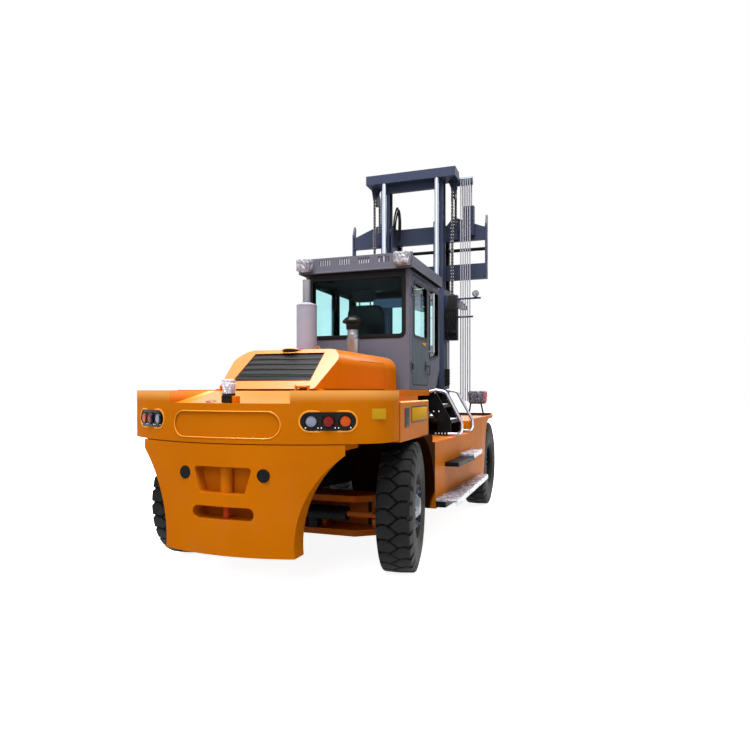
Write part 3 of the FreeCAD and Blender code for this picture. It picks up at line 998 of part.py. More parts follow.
def seat_and_controls():
    """Driver's seat, and the dash with column and steering ring."""
    floor = "CabBase + CabWall + Seat"
    cushion = block("SeatCushion", ("-SeatHalf", aft("SeatAft"), "SeatLow"), ("SeatHalf", aft("SeatFore"),
        "SeatLow + 130"))
    box = block("SeatBox", ("-SeatHalf + 30", aft("SeatAft - 40"), floor), ("SeatHalf - 30",
        aft("SeatFore + 40"), "SeatLow + 5"))
    back = extrude("SeatBack", "YZ", "-SeatHalf + 10", "SeatHalf - 10", [
        (aft("SeatAft - 20"), "SeatLow + 60"), (aft("SeatAft - 130"), "SeatLow + 60"),
        (aft("SeatAft + 10"), "SeatBackHigh", "30"), (aft("SeatAft + 110"), "SeatBackHigh", "30")])
    head = block("SeatHead", ("-150", aft("SeatAft + 110"), "SeatBackHigh + 20"), ("150",
        aft("SeatAft + 20"), "SeatBackHigh + 190"))
    stalk = block("SeatStalk", ("-60", aft("SeatAft + 80"), "SeatBackHigh - 40"), ("60", aft("SeatAft + 50"),
        "SeatBackHigh + 40"))
    node(fuse("DriverSeat", cushion, box, back, head, stalk), "driver_seat")
    dash = extrude("Dash", "YZ", "-DashHalf", "DashHalf", [
        (aft("DashAft"), "CabChinZ - 60"), (aft("CabFore + 120"), "CabChinZ + 110"),
        (aft("CabFore + 120"), "DashHigh", "30"), (aft("DashAft"), "DashHigh", "30")])
    wheel_y = "DashAft + 160"
    bridge = block("DashBridge", ("-45", aft(wheel_y), "DashHigh - 130"), ("45", aft("DashAft - 10"),
        "DashHigh - 40"))
    column = rod("SteerColumn", "Z", "32", ("0", aft(wheel_y), floor), "DashHigh + 60 - (%s)" % floor)
    ring = doc.addObject("Part::Torus", "SteerRing")
    bind(ring, "Radius1", "WheelRingRadius")
    ring.Radius2 = 16
    place(ring, "0", aft(wheel_y), "DashHigh + 60")
    spoke = block("SteerSpoke", ("-WheelRingRadius", aft(wheel_y + " + 20"), "DashHigh + 50"),
                  ("WheelRingRadius", aft(wheel_y + " - 20"), "DashHigh + 66"))
    node(fuse("Controls", dash, bridge, column, ring, spoke), "dash_and_wheel")


def door():
    """Right door with its window frame, hinge barrels and pull bar; the left one is its mirror."""
    low, high = "DoorLow + DoorGap", "DoorHigh - DoorGap"
    rear, front = "DoorAft - DoorGap", "DoorFore + DoorGap"
    leaf = extrude("DoorLeaf", "YZ", "CabHalf - DoorThick", "CabHalf", [
        (aft(rear), low, "46"), (aft(front), low, "46"), (aft(front), high, "46"), (aft(rear), high, "46")])
    pane_points = [(aft("%s - DoorFrame" % rear), "DoorGlassLow", "40"), (aft("%s + DoorFrame" % front),
        "DoorGlassLow", "40"), (aft("%s + DoorFrame" % front), high + " - DoorFrame", "40"),
        (aft("%s - DoorFrame" % rear), high + " - DoorFrame", "40")]
    window = extrude("DoorWindow", "YZ", "CabHalf - DoorThick - 10", "CabHalf + 10", pane_points)
    hinges = []
    pins = []
    for i, z in enumerate(("DoorLow + 180", "DoorHigh - 240")):
        at = ("CabHalf + DoorHingeRadius + 4", aft("DoorAft"), z)
        knuckle_set = fuse("DoorKnuckleSet%d" % i, rod("DoorKnuckle%d" % i, "Z", "DoorHingeRadius", at,
            "70"), block("DoorStrap%d" % i, ("CabHalf - 8", aft("DoorAft"), z), ("CabHalf + 10",
            aft("DoorAft - 90"), z + " + 70")))
        clear = block("DoorStrapClear%d" % i, ("CabHalf - 12", aft("DoorAft + 30"), z + " - 4"),
                      ("CabHalf + 3.9", aft(rear), z + " + 74"))
        hinges.append(cut("DoorHinge%d" % i, knuckle_set, clear,
                          rod("DoorBore%d" % i, "Z", "7 + Seat", (at[0], at[1], z + " - 5"), "80")))
        pin = rod("DoorPin%d" % i, "Z", "7", (at[0], at[1], z + " - 24"), "118")
        for k, low_z in enumerate((z + " - 24", z + " + 70 + Seat * 10")):
            bit = fuse("DoorLug%d%d" % (i, k), rod("DoorLugPin%d%d" % (i, k), "Z", "DoorHingeRadius", (at[0],
                at[1], low_z), "21"), block("DoorLugLeaf%d%d" % (i, k), ("CabHalf + Seat",
                aft("DoorAft + 50"), low_z), ("CabHalf + 14", aft("DoorAft - 4"), low_z + " + 21")))
            pins.append(bit)
        pins.append(pin)
    bar = rod("DoorPull", "Z", "11", ("CabHalf + 34", aft("DoorFore + 50"), "DoorLow + 130"), "130")
    feet = [rod("DoorPullFoot%d" % i, "X", "9", ("CabHalf - 5", aft("DoorFore + 50"), z), "39")
            for i, z in enumerate(("DoorLow + 142", "DoorLow + 248"))]
    right = cut("DoorPanel", fuse("DoorSet", leaf, *hinges, bar, *feet), window)
    pane = extrude("DoorPane", "YZ", "CabHalf - DoorThick / 2 - GlassThick", "CabHalf - DoorThick / 2", [
        (aft("%s - DoorFrame - Seat" % rear), "DoorGlassLow + Seat", "40"),
        (aft("%s + DoorFrame + Seat" % front), "DoorGlassLow + Seat", "40"),
        (aft("%s + DoorFrame + Seat" % front), high + " - DoorFrame - Seat", "40"),
        (aft("%s - DoorFrame - Seat" % rear), high + " - DoorFrame - Seat", "40")])
    node(right, "door_right")
    node(pane, "door_glass_right")
    node(mirror("DoorPanelLeft", right), "door_left")
    node(mirror("DoorPaneLeft", pane), "door_glass_left")
    rails = grab_rails()
    lug_sets = [fuse("DoorLugs%d" % i, *pins[i * 3:i * 3 + 3]) for i in range(2)]
    node(both("CabFittings", group("CabFittingsRight", *lug_sets, rails)), "cab_fittings")


def grab_rails():
    """Tall grab rail in front of the right door, on the fixed quarter panel."""
    y = aft("QuarterAft + 30")
    bar = rod("GrabBar", "Z", "GrabRadius", ("CabHalf + GrabOut", y, "GrabLow"), "GrabHigh - GrabLow")
    feet = [rod("GrabFoot%d" % i, "X", "GrabRadius - 2", ("CabHalf + Seat", y, z), "GrabOut") for i,
        z in enumerate(("GrabLow + 12", "GrabHigh - 12"))]
    return fuse("GrabRail", bar, *feet)


# ---------------------------------------------------------------- mast

def mast_outer():
    """Outer mast: channels opening inwards, cross beams behind the cylinders, feet and brackets."""
    items = []
    for i, s in ((0, 1), (1, -1)):
        inner = "OuterHalf - OuterFlange"
        channel = [("OuterHalf", fore("ChannelAft")), ("OuterHalf", fore("ChannelFore")),
                   (inner, fore("ChannelFore")), (inner, fore("ChannelFore - FlangeThick")),
                   ("OuterHalf - OuterWeb", fore("ChannelFore - FlangeThick")),
                   ("OuterHalf - OuterWeb", fore("ChannelAft + FlangeThick")),
                   (inner, fore("ChannelAft + FlangeThick")), (inner, fore("ChannelAft"))]
        if s < 0:
            channel = [("-(%s)" % x, y) for x, y in channel]
        items.append(extrude("OuterChannel%d" % i, "XY", "OuterLow", "OuterHigh", channel))
        low = "OuterHalf - 70" if s > 0 else "-OuterHalf"
        high = "OuterHalf" if s > 0 else "70 - OuterHalf"
        items.append(block("OuterCheek%d" % i, (low, fore("LiftFore - BarrelRadius - BeamDeep - 4"),
            "OuterLow"), (high, fore("ChannelAft + 4"), "OuterHigh - 20")))
        foot_low = "FrameHalf + 5" if s > 0 else "-FrameHalf - 100"
        foot = extrude("MastFoot%d" % i, "YZ", foot_low, foot_low + " + 95", [
            (fore("TiltFore - MastFootRadius"), "TiltZ"), (fore("TiltFore + MastFootRadius"), "TiltZ"),
            (fore("LiftFore - BarrelRadius - 6"), "TiltZ + 60"),
            (fore("LiftFore - BarrelRadius - 6"), "TiltZ + 200"),
            (fore("TiltFore - 40"), "TiltZ + 200")], {0: ("MastFootRadius + 0.01", 1)})
        items.append(cut("MastFootBored%d" % i, foot, rod("MastBore%d" % i, "X", "TiltPinRadius + Seat",
                     (foot_low + " - 5", fore("TiltFore"), "TiltZ"), "105")))
        anchor_x = "OuterHalf - 5" if s > 0 else "-SheaveX - ChainWide / 2 - 4"
        items.append(block("ChainAnchor%d" % i, (anchor_x, fore("ChainRearFore - 30"), "AnchorZ - 60"),
            (anchor_x + " + SheaveX + ChainWide / 2 + 9 - OuterHalf", fore("ChainRearFore + 30"),
            "AnchorZ")))
        ear = "%d * TiltCylX" % s
        ear_foot = fore("LiftFore - BarrelRadius - BeamDeep + 6")
        for k, d in ((0, 1), (1, -1)):
            ear_low = ear + (" + 22" if d > 0 else " - 42")
            items.append(extrude("TiltEar%d%d" % (i, k), "YZ", ear_low, ear_low + " + 20", [
                (fore("TiltFrontFore - 34"), "TiltFrontZ - 40"), (ear_foot, "TiltFrontZ - 110"),
                (ear_foot, "TiltFrontZ + 110"), (fore("TiltFrontFore - 34"), "TiltFrontZ + 40")]))
        items.append(rod("TiltPinFront%d" % i, "X", "TiltPin", (ear + " - 42", fore("TiltFrontFore"),
            "TiltFrontZ"), "84"))
    beam_y = fore("LiftFore - BarrelRadius - BeamDeep - 4")
    for i, (low, high) in enumerate((("OuterLow + 180", "OuterLow + 420"), ("TiltFrontZ - 110",
            "TiltFrontZ + 110"), ("2100", "2240"), ("OuterHigh - 260", "OuterHigh - 60"))):
        items.append(block("OuterBeam%d" % i, ("5 - OuterHalf", beam_y, low), ("OuterHalf - 5",
            beam_y + " + BeamDeep", high)))
    items.append(block("BarrelShoe", ("-LiftX - BarrelRadius - 10", beam_y + " + 4", "OuterLow"),
                       ("LiftX + BarrelRadius + 10", fore("ChannelAft + 20"), "OuterLow + 60")))
    items.append(block("ShoeTieRight", ("LiftX", beam_y + " + 4", "OuterLow"), ("OuterHalf - 5",
        fore("ChannelAft + 20"), "OuterLow + 40")))
    items.append(block("ShoeTieLeft", ("5 - OuterHalf", beam_y + " + 4", "OuterLow"), ("-LiftX",
        fore("ChannelAft + 20"), "OuterLow + 40")))
    # hose bracket with two lamp arms on the right channel
    items.append(block("HosePack", ("OuterHalf - 4", fore("ChannelAft - 40"), "HosePackLow"),
        ("SheaveX + 100", fore("ChannelAft + 70"), "HosePackHigh")))
    for i, (z, reach) in enumerate((("HosePackHigh - 55", "LampArmLong"), ("HosePackHigh - 328",
            "LampArmShort"))):
        items.append(rod("LampArm%d" % i, "X", "16", ("SheaveX + 70", fore("ChannelAft"), z), reach))
    node(fuse("MastOuter", *items), "mast_outer")
    barrels = [cut("LiftBarrelCut%d" % i, rod("LiftBarrel%d" % i, "Z", "BarrelRadius", ("%d * LiftX" % s,
        fore("LiftFore"), "OuterLow + 60 + Seat"), "BarrelHigh - OuterLow - 60"), rod("LiftBarrelBore%d" % i,
        "Z", "RodRadius + Seat", ("%d * LiftX" % s, fore("LiftFore"), "OuterLow + 90"),
        "BarrelHigh - OuterLow")) for i, s in ((0, 1), (1, -1))]
    node(group("LiftBarrels", *barrels), "lift_barrels")


def mast_inner():
    """Inner mast: H-section uprights with a crosshead, chain pulleys and rollers."""
    items = []
    for i, s in ((0, 1), (1, -1)):
        out, base = "InnerHalf", "InnerHalf - InnerFlange"
        web_low = "InnerHalf - InnerFlange / 2 - InnerWeb / 2"
        web_high = "InnerHalf - InnerFlange / 2 + InnerWeb / 2"
        beam = [(base, fore("InnerAft")), (out, fore("InnerAft")), (out, fore("InnerAft + FlangeThick")),
                (web_high, fore("InnerAft + FlangeThick")), (web_high, fore("InnerFore - FlangeThick")),
                (out, fore("InnerFore - FlangeThick")), (out, fore("InnerFore")), (base, fore("InnerFore")),
                (base, fore("InnerFore - FlangeThick")), (web_low, fore("InnerFore - FlangeThick")),
                (web_low, fore("InnerAft + FlangeThick")), (base, fore("InnerAft + FlangeThick"))]
        if s < 0:
            beam = [("-(%s)" % x, y) for x, y in beam]
        items.append(extrude("InnerUpright%d" % i, "XY", "InnerLow", "InnerHigh", beam))
        roller_radius = "(ChannelFore - ChannelAft) / 2 - FlangeThick - Seat"
        start = "InnerHalf - 4" if s > 0 else "4 - OuterHalf + OuterWeb"
        items.append(rod("InnerRoller%d" % i, "X", roller_radius, (start,
            fore("(ChannelFore + ChannelAft) / 2"), "InnerLow + 160"), "OuterHalf - OuterWeb - InnerHalf"))
        bracket = [("CrossHalf", "CrossLow + 20"), ("SheaveX + 46", "SheaveZ - 50"), ("SheaveX - 22",
            "SheaveZ - 50"), ("SheaveX - 22", "SheaveZ + 10"), ("SheaveX - 90", "CrossLow + 20")]
        if s < 0:
            bracket = [("-(%s)" % x, z) for x, z in bracket]
        items.append(extrude("SheaveBracket%d" % i, "XZ", fore("ChainMid - 50"), fore("ChainMid - 30"),
            bracket))
        items.append(rod("Sheave%d" % i, "X", "SheaveRadius", ("%d * SheaveX - ChainWide / 2" % s,
            fore("ChainMid"), "SheaveZ"), "ChainWide"))
    items.append(block("Crosshead", ("-CrossHalf", fore("LiftFore - CrossBack"), "CrossLow"), ("CrossHalf",
        fore("InnerFore"), "CrossHigh")))
    items.append(block("CrossSheaveTop", ("-SheaveX - 40", fore("InnerFore - 20"), "CrossLow"),
        ("SheaveX + 40", fore("ChainMid + 30"), "CrossLow + 60")))
    items.append(block("CrossMiddle", ("InnerFlange - InnerHalf - 10", fore("InnerAft"), "CrossMidLow"),
        ("InnerHalf - InnerFlange + 10", fore("InnerAft + 50"), "CrossLow + 10")))
    items.append(block("InnerFootBeam", ("InnerFlange - InnerHalf - 10", fore("InnerAft"), "InnerLow + 40"),
        ("InnerHalf - InnerFlange + 10", fore("InnerAft + 18"), "InnerLow + 300")))
    hoses = "HoseFirstX + 4 * HosePitch"
    items.append(rod("HosePulley", "X", "ChainMid - ChainRearFore - 55 - HoseRadius", ("CrossHalf - 20",
        fore("ChainMid"), "HosePulleyZ"), hoses + " + 26 - CrossHalf + 20"))
    node(fuse("MastInner", *items), "mast_inner")
    rods = [rod("LiftRod%d" % i, "Z", "RodRadius", ("%d * LiftX" % s, fore("LiftFore"),
        "OuterLow + 60 + 1860"), "CrossLow - Seat - OuterLow - 60 - 1860") for i, s in ((0, 1), (1, -1))]
    node(group("LiftRods", *rods), "lift_rods")


def strands():
    """Chain and hose strands on both sides of their pulleys."""
    def pair(name, y, low, high):
        return group(name, *[block("%s%d" % (name, i), ("%d * SheaveX - ChainWide / 2" % s,
            fore(y) + " - ChainThick / 2", low), ("%d * SheaveX + ChainWide / 2" % s,
            fore(y) + " + ChainThick / 2", high)) for i, s in ((0, 1), (1, -1))])
    node(pair("ChainsRear", "ChainRearFore", "AnchorZ + Seat", "SheaveZ"), "lift_chains_rear")
    node(pair("ChainsFront", "ChainFrontFore", "BarTopHigh - 60 + Seat", "SheaveZ"), "lift_chains_front")
    hose_y = "ChainMid - (ChainMid - ChainRearFore - 55)"
    front_y = "ChainMid + (ChainMid - ChainRearFore - 55)"
    node(group("HosesRear", *[rod("HoseRear%d" % i, "Z", "HoseRadius", ("HoseFirstX + %d * HosePitch" % i,
        fore(hose_y), "HoseLow"), "HosePulleyZ - HoseLow") for i in range(5)]), "hoses_rear")
    node(group("HosesFront", *[rod("HoseFront%d" % i, "Z", "HoseRadius", ("HoseFirstX + %d * HosePitch" % i,
        fore(front_y), "BarTopHigh + 250 + Seat"),
        "HosePulleyZ - BarTopHigh - 250 - Seat") for i in range(5)]), "hoses_front")


def tilt_cylinders():
    """Tilt cylinder on each side: barrel on the frame's pin, rod with its eye at the mast's pin."""
    span_y, span_z = "(TiltFrontFore + TiltRearAft)", "(TiltFrontZ - TiltRearZ)"
    span = "sqrt(%s^2 + %s^2)" % (span_y, span_z)
    rise = "atan(%s / %s)" % (span_z, span_y)
    for name, s in (("Right", 1), ("Left", -1)):
        eye = rod("TiltEye" + name, "X", "TiltEyeRadius", ("-30", "0", "0"), "60")
        tube_part = rod("TiltTube" + name, "Y", "TiltBarrelRadius", ("0", "60", "0"), "TiltBarrelLong")
        neck = block("TiltNeck" + name, ("-28", "0", "-34"), ("28", "70", "34"))
        whole = cut("TiltBarrel" + name, fuse("TiltBarrelSet" + name, eye, tube_part, neck),
            rod("TiltEyeBore" + name, "X", "TiltPin + Seat", ("-40", "0", "0"), "80"),
            rod("TiltTubeBore" + name, "Y", "TiltRodRadius + Seat", ("0", "120", "0"), "TiltBarrelLong"))
        node(tilted("TiltBarrelSet2" + name, whole, rise, s), "tilt_barrel_" + name.lower())
        bar = rod("TiltBar" + name, "Y", "TiltRodRadius", ("0", "330", "0"), span + " - 330 - 60")
        rod_eye = rod("TiltRodEye" + name, "X", "TiltEyeRadius - 6", ("-21", span, "0"), "42")
        rod_neck = block("TiltRodNeck" + name, ("-19", span + " - 62", "-30"), ("19", span, "30"))
        whole = cut("TiltRod" + name, fuse("TiltRodSet" + name, bar, rod_eye, rod_neck),
                    rod("TiltRodBore" + name, "X", "TiltPin + TiltEyeOpen", ("-40", span, "0"), "80"))
        node(tilted("TiltRodSet2" + name, whole, rise, s), "tilt_rod_" + name.lower())


def tilted(name, source, rise, sign):
    """A copy raised about X by an angle and set down at the tilt cylinder's rear pin."""
    item = group(name, source)
    item.Placement = FreeCAD.Placement(FreeCAD.Vector(), FreeCAD.Rotation(FreeCAD.Vector(1, 0, 0), 1))
    bind(item, "Placement.Rotation.Angle", rise)
    return place(item, "%d * TiltCylX" % sign, aft("TiltRearAft"), "TiltRearZ")


# ---------------------------------------------------------------- carriage and forks

def carriage():
    """Fork carriage: two bars between end plates, roller plates, hose guide and chain lugs."""
    groove = block("BarGroove", ("FinThick - CarriageHalf", fore("BarFore - 30"), "HookLow"),
                   ("CarriageHalf - FinThick", fore("BarFore + 5"), "HookLow + 58"))
    plain_bar = extrude("BarTopPlain", "XZ", fore("BarAft"), fore("BarFore"), mirrored_profile([
        ("CarriageHalf", "BarTopLow"), ("CarriageHalf", "BarTopEnd"), ("CarriageHalf - 60", "BarTopEnd"),
        ("SheaveX", "BarShoulder - 20"), ("SheaveX - 40", "BarShoulder"), ("SheaveX - 150", "BarTopHigh")]))
    top_bar = cut("BarTop", plain_bar, groove)
    low_bar = block("BarLow", ("-CarriageHalf", fore("BarAft"), "BarLowLow"), ("CarriageHalf",
        fore("BarFore"), "BarLowHigh"))
    items = [top_bar, low_bar]
    for i, s in ((0, 1), (1, -1)):
        low = "CarriageHalf - FinThick" if s > 0 else "-CarriageHalf"
        items.append(extrude("Fin%d" % i, "YZ", low, low + " + FinThick", [
            (fore("BarAft - 20"), "FinLow"), (fore("BarFore"), "FinLow"), (fore("BarFore"), "FinHigh - 60"),
            (fore("BarFore - 30"), "FinHigh", "14"), (fore("BarAft - 20"), "FinHigh - 170")]))
        low = "RollerHalf - RollerPlate" if s > 0 else "-RollerHalf"
        items.append(block("RollerPlate%d" % i, (low, fore("InnerAft + 60"), "BarLowLow"),
            (low + " + RollerPlate", fore("BarAft + 10"), "BarTopHigh")))
        roller_radius = "(InnerFore - InnerAft) / 2 - FlangeThick - Seat"
        start = "RollerHalf - 10" if s > 0 else "-(InnerHalf - InnerFlange / 2 - InnerWeb / 2 - 6)"
        for k, z in enumerate(("BarLowLow + 260", "BarTopHigh - 110")):
            items.append(rod("CarriageRoller%d%d" % (i, k), "X", roller_radius, (start,
                fore("(InnerAft + InnerFore) / 2"), z),
                "InnerHalf - InnerFlange / 2 - InnerWeb / 2 - 6 - RollerHalf + 10"))
        items.append(block("ChainLug%d" % i, ("%d * SheaveX - ChainWide / 2 - 8" % s,
            fore("ChainFrontFore - 24"), "BarTopLow + 20"), ("%d * SheaveX + ChainWide / 2 + 8" % s,
            fore("BarAft + 5"), "BarTopHigh - 60")))
    items.append(block("GuideBox", ("GuideX - GuideHalf - 20", fore("ChainFrontFore - 60"),
        "BarTopLow + 60"), ("GuideX + GuideHalf + 20", fore("BarAft + 5"), "BarTopHigh + 250")))
    node(fuse("Carriage", *items), "carriage")
    positioner = rod("Positioner", "X", "PositionerRadius", ("FinThick - CarriageHalf + Seat",
        fore("(BarAft + BarFore) / 2"), "PositionerZ"), "2 * (CarriageHalf - FinThick - Seat)")
    node(positioner, "fork_positioner")


def forks():
    """Forged fork: shank with top hook, rounded heel and tapered blade."""
    for name, s in (("Right", 1), ("Left", -1)):
        middle = "%d * ForkX" % s
        front = fore("ForkBack + ForkThick")
        tip = fore("ForkBack + ForkThick + ForkReach")
        profile = extrude("ForkProfile" + name, "YZ", middle + " - ForkWide / 2", middle + " + ForkWide / 2",
            [(fore("ForkBack"), "ForkLow", "60"), (tip, "ForkLow"), (tip, "ForkLow + ForkTip"),
            (front + " + 500", "BladeTopZ - 20"), (front, "BladeTopZ", "20"), (front, "ForkTop", "20"),
            (fore("ForkBack"), "ForkTop"), (fore("ForkBack"), "HookLow + 44"), (fore("BarFore - 24"),
            "HookLow + 44"), (fore("BarFore - 24"), "HookLow + Seat"), (fore("ForkBack"), "HookLow + Seat")])
        taper = extrude("ForkTaper" + name, "XY", "ForkLow - 10", "ForkTop + 10",
            [(middle + " - ForkWide / 2", fore("BarFore - 30")), (middle + " + ForkWide / 2",
            fore("BarFore - 30")), (middle + " + ForkWide / 2", tip + " - 320"), (middle + " + ForkWide / 4",
            tip + " + 1"), (middle + " - ForkWide / 4", tip + " + 1"), (middle + " - ForkWide / 2",
            tip + " - 320")])
        node(common("Fork" + name, profile, taper), "fork_" + name.lower())


def build():
    rear_wheels(front_wheels())
    knuckles()
    steer_axle()
    drive_axle()
    counterweight()
    rear_lamps()
    beacon()
    frame()
    node(both("SideBodies", side_body()), "side_bodies")
    node(both("Boards", group("BoardsRight", *boards())), "side_steps")
    node(both("Stairs", stairs()), "stairs")
    node(both("Handrails", group("HandrailsRight", *handrails())), "handrails")
    node(both("Mirrors", mirror_unit()), "mirrors")
    hood()
    cowl()
    stacks()
    cab()
    mast_outer()
    mast_inner()
    strands()
    tilt_cylinders()
    carriage()
    forks()


def write_out():
    """Check every object, then write each sub-part to its own file."""
    doc.recompute()
    broken = [item.Label for item in doc.Objects if "Invalid" in item.State or "Error" in item.State]
    if broken:
        raise RuntimeError("not computed: " + ", ".join(broken))
    for item in NODES:
        shape = item.Shape
        if shape.isNull() or not shape.isValid() or not shape.Solids:
            raise RuntimeError("%s has no valid shape" % item.Label)
    os.makedirs("parts", exist_ok=True)
    for item in NODES:
        item.Shape.exportStep(os.path.join("parts", item.Label + ".step"))
        print("%-22s solids %d volume %.4f m3" % (item.Label, len(item.Shape.Solids),
            item.Shape.Volume / 1e9))
    print(len(NODES), "sub-parts")


build()
write_out()
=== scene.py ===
import bmesh
import bpy
import math
import numpy as np
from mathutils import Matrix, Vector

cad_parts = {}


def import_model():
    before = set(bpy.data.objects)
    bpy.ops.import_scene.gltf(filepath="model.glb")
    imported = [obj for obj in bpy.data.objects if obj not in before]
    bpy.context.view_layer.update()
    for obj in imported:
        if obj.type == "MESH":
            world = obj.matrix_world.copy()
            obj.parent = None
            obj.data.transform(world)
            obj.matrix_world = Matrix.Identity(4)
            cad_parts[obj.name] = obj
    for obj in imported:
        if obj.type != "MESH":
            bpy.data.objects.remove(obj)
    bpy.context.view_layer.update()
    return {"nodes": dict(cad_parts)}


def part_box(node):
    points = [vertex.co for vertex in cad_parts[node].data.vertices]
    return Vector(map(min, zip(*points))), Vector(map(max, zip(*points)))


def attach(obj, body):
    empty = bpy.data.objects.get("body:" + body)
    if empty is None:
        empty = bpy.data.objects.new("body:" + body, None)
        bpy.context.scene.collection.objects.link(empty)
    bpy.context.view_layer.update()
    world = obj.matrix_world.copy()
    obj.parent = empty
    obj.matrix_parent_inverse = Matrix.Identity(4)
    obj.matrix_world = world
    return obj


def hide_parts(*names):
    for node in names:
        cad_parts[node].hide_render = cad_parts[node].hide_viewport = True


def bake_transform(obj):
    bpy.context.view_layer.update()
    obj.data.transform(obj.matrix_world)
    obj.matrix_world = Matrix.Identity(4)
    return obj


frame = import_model()

QUARTER = math.pi / 2
SIDES = ((1, "right"), (-1, "left"))

AMBER = (0.52, 0.138, 0.002)
CAB_GREY = (0.118, 0.122, 0.158)
DOOR_GREY = (0.084, 0.106, 0.128)
SLATE = (0.040, 0.048, 0.080)
AXLE_ORANGE = (0.46, 0.100, 0.009)
# EDGE_LIGHT is the colour of the painted highlight on edges that catch the light
EDGE_LIGHT = (0.90, 0.42, 0.10)
ROAD_DUST = (0.30, 0.22, 0.14)

# the axles in Y; the rear wheels' turn at rest, a kingpin's place across and a wheel's middle out from it
REAR_AXLE, FRONT_AXLE, TYRE_RADIUS = -2.574, 0.8, 0.5625
STEER, KINGPIN, REAR_OUT = math.radians(8.8), 0.85, 0.201


# ---------------------------------------------------------------- shader maths

class Val:
    """A shader socket whose arithmetic adds the Math nodes it needs."""

    def __init__(self, shader, socket):
        self.shader = shader
        self.socket = socket

    def math(self, operation, *values):
        return self.shader.node("ShaderNodeMath", {"operation": operation}, values)

    def of(self, operation):
        """A Math node's function of the value alone."""
        return self.math(operation, self)

    def __add__(self, other):
        return self.math("ADD", self, other)

    def __sub__(self, other):
        return self.math("SUBTRACT", self, other)

    def __rsub__(self, other):
        return self.math("SUBTRACT", other, self)

    def __mul__(self, other):
        return self.math("MULTIPLY", self, other)

    def __gt__(self, other):
        return self.math("GREATER_THAN", self, other)

    def __lt__(self, other):
        return self.math("LESS_THAN", self, other)

    def __abs__(self):
        return self.of("ABSOLUTE")

    def either(self, other):
        """The larger of two masks."""
        return self.math("MAXIMUM", self, other)

    def wave(self, turns):
        """A sine wave of the value, from 0 to 1, with this many turns a unit."""
        return (self * (turns * 2 * math.pi)).of("SINE") * 0.5 + 0.5

    def ramp(self, low, high):
        """0 at low, 1 at high and smooth between them."""
        return self.shader.node("ShaderNodeMapRange", {"interpolation_type": "SMOOTHSTEP"},
                                {"Value": self, "From Min": low, "From Max": high})

    __radd__ = __add__
    __rmul__ = __mul__


def length(a, b):
    """The length of a pair of shader values: the root of the sum of their squares."""
    return (a * a + b * b).of("SQRT")


class Shader:
    """A material's node tree, written as expressions."""

    def __init__(self, name):
        self.material = bpy.data.materials.new(name)
        self.material.use_nodes = True
        self.tree = self.material.node_tree
        self.tree.nodes.clear()
        self.output = self.tree.nodes.new("ShaderNodeOutputMaterial")
        self.place = self.node("ShaderNodeTexCoord", {}, {}, "Object")

    def node(self, kind, settings, values, out=0):
        """A node of this type with its settings made first and then its sockets filled."""
        made = self.tree.nodes.new(kind)
        for field, setting in settings.items():
            setattr(made, field, setting)
        pairs = values.items() if isinstance(values, dict) else enumerate(values)
        for key, value in pairs:
            if isinstance(value, Val):
                self.tree.links.new(value.socket, made.inputs[key])
            elif value is not None:
                made.inputs[key].default_value = value
        return Val(self, made.outputs[out])

    def split(self):
        """The three parts of the place on the object."""
        return [self.node("ShaderNodeSeparateXYZ", {}, {"Vector": self.place}, axis) for axis in "XYZ"]

    def facing_up(self, wall=0.25, slope=0.7):
        """0 on walls and 1 on what leans back by 45 degrees or more; the ends are the normal's part in Z."""
        normal = self.node("ShaderNodeTexCoord", {}, {}, "Normal")
        return self.node("ShaderNodeSeparateXYZ", {}, {"Vector": normal}, "Z").ramp(wall, slope)

    def stretched(self, stretch):
        """The place on the object, with its axes scaled where a stretch is given."""
        if stretch is None:
            return self.place
        return self.node("ShaderNodeMapping", {}, {"Vector": self.place, "Scale": stretch})

    def noise(self, scale, detail=3.0, rough=0.5, stretch=None):
        return self.node("ShaderNodeTexNoise", {}, {"Vector": self.stretched(stretch), "Scale": scale,
                                                    "Detail": detail, "Roughness": rough})

    def cells(self, scale, stretch=None):
        """The distance to the nearest edge of irregular cells."""
        return self.node("ShaderNodeTexVoronoi", {"feature": "DISTANCE_TO_EDGE"},
                         {"Vector": self.stretched(stretch), "Scale": scale}, "Distance")

    def blend(self, factor, first, second):
        """A colour between two others."""
        values = {0: factor, 6: rgba(first), 7: rgba(second)}
        return self.node("ShaderNodeMix", {"data_type": "RGBA"}, values, 2)

    def bump(self, height, distance, strength=1.0, normal=None):
        return self.node("ShaderNodeBump", {}, {"Height": height, "Distance": distance, "Strength": strength,
                                                "Normal": normal})

    def finish(self, **sockets):
        """Principled shader with these sockets, named with underscores for spaces."""
        values = {key.replace("_", " "): rgba(value) for key, value in sockets.items()}
        surface = self.node("ShaderNodeBsdfPrincipled", {}, values)
        self.tree.links.new(surface.socket, self.output.inputs["Surface"])
        return self.material


def rgba(value):
    return (*value, 1.0) if isinstance(value, tuple) and len(value) == 3 else value


def scaled(colour, factor):
    return tuple(c * factor for c in colour)


# ---------------------------------------------------------------- materials

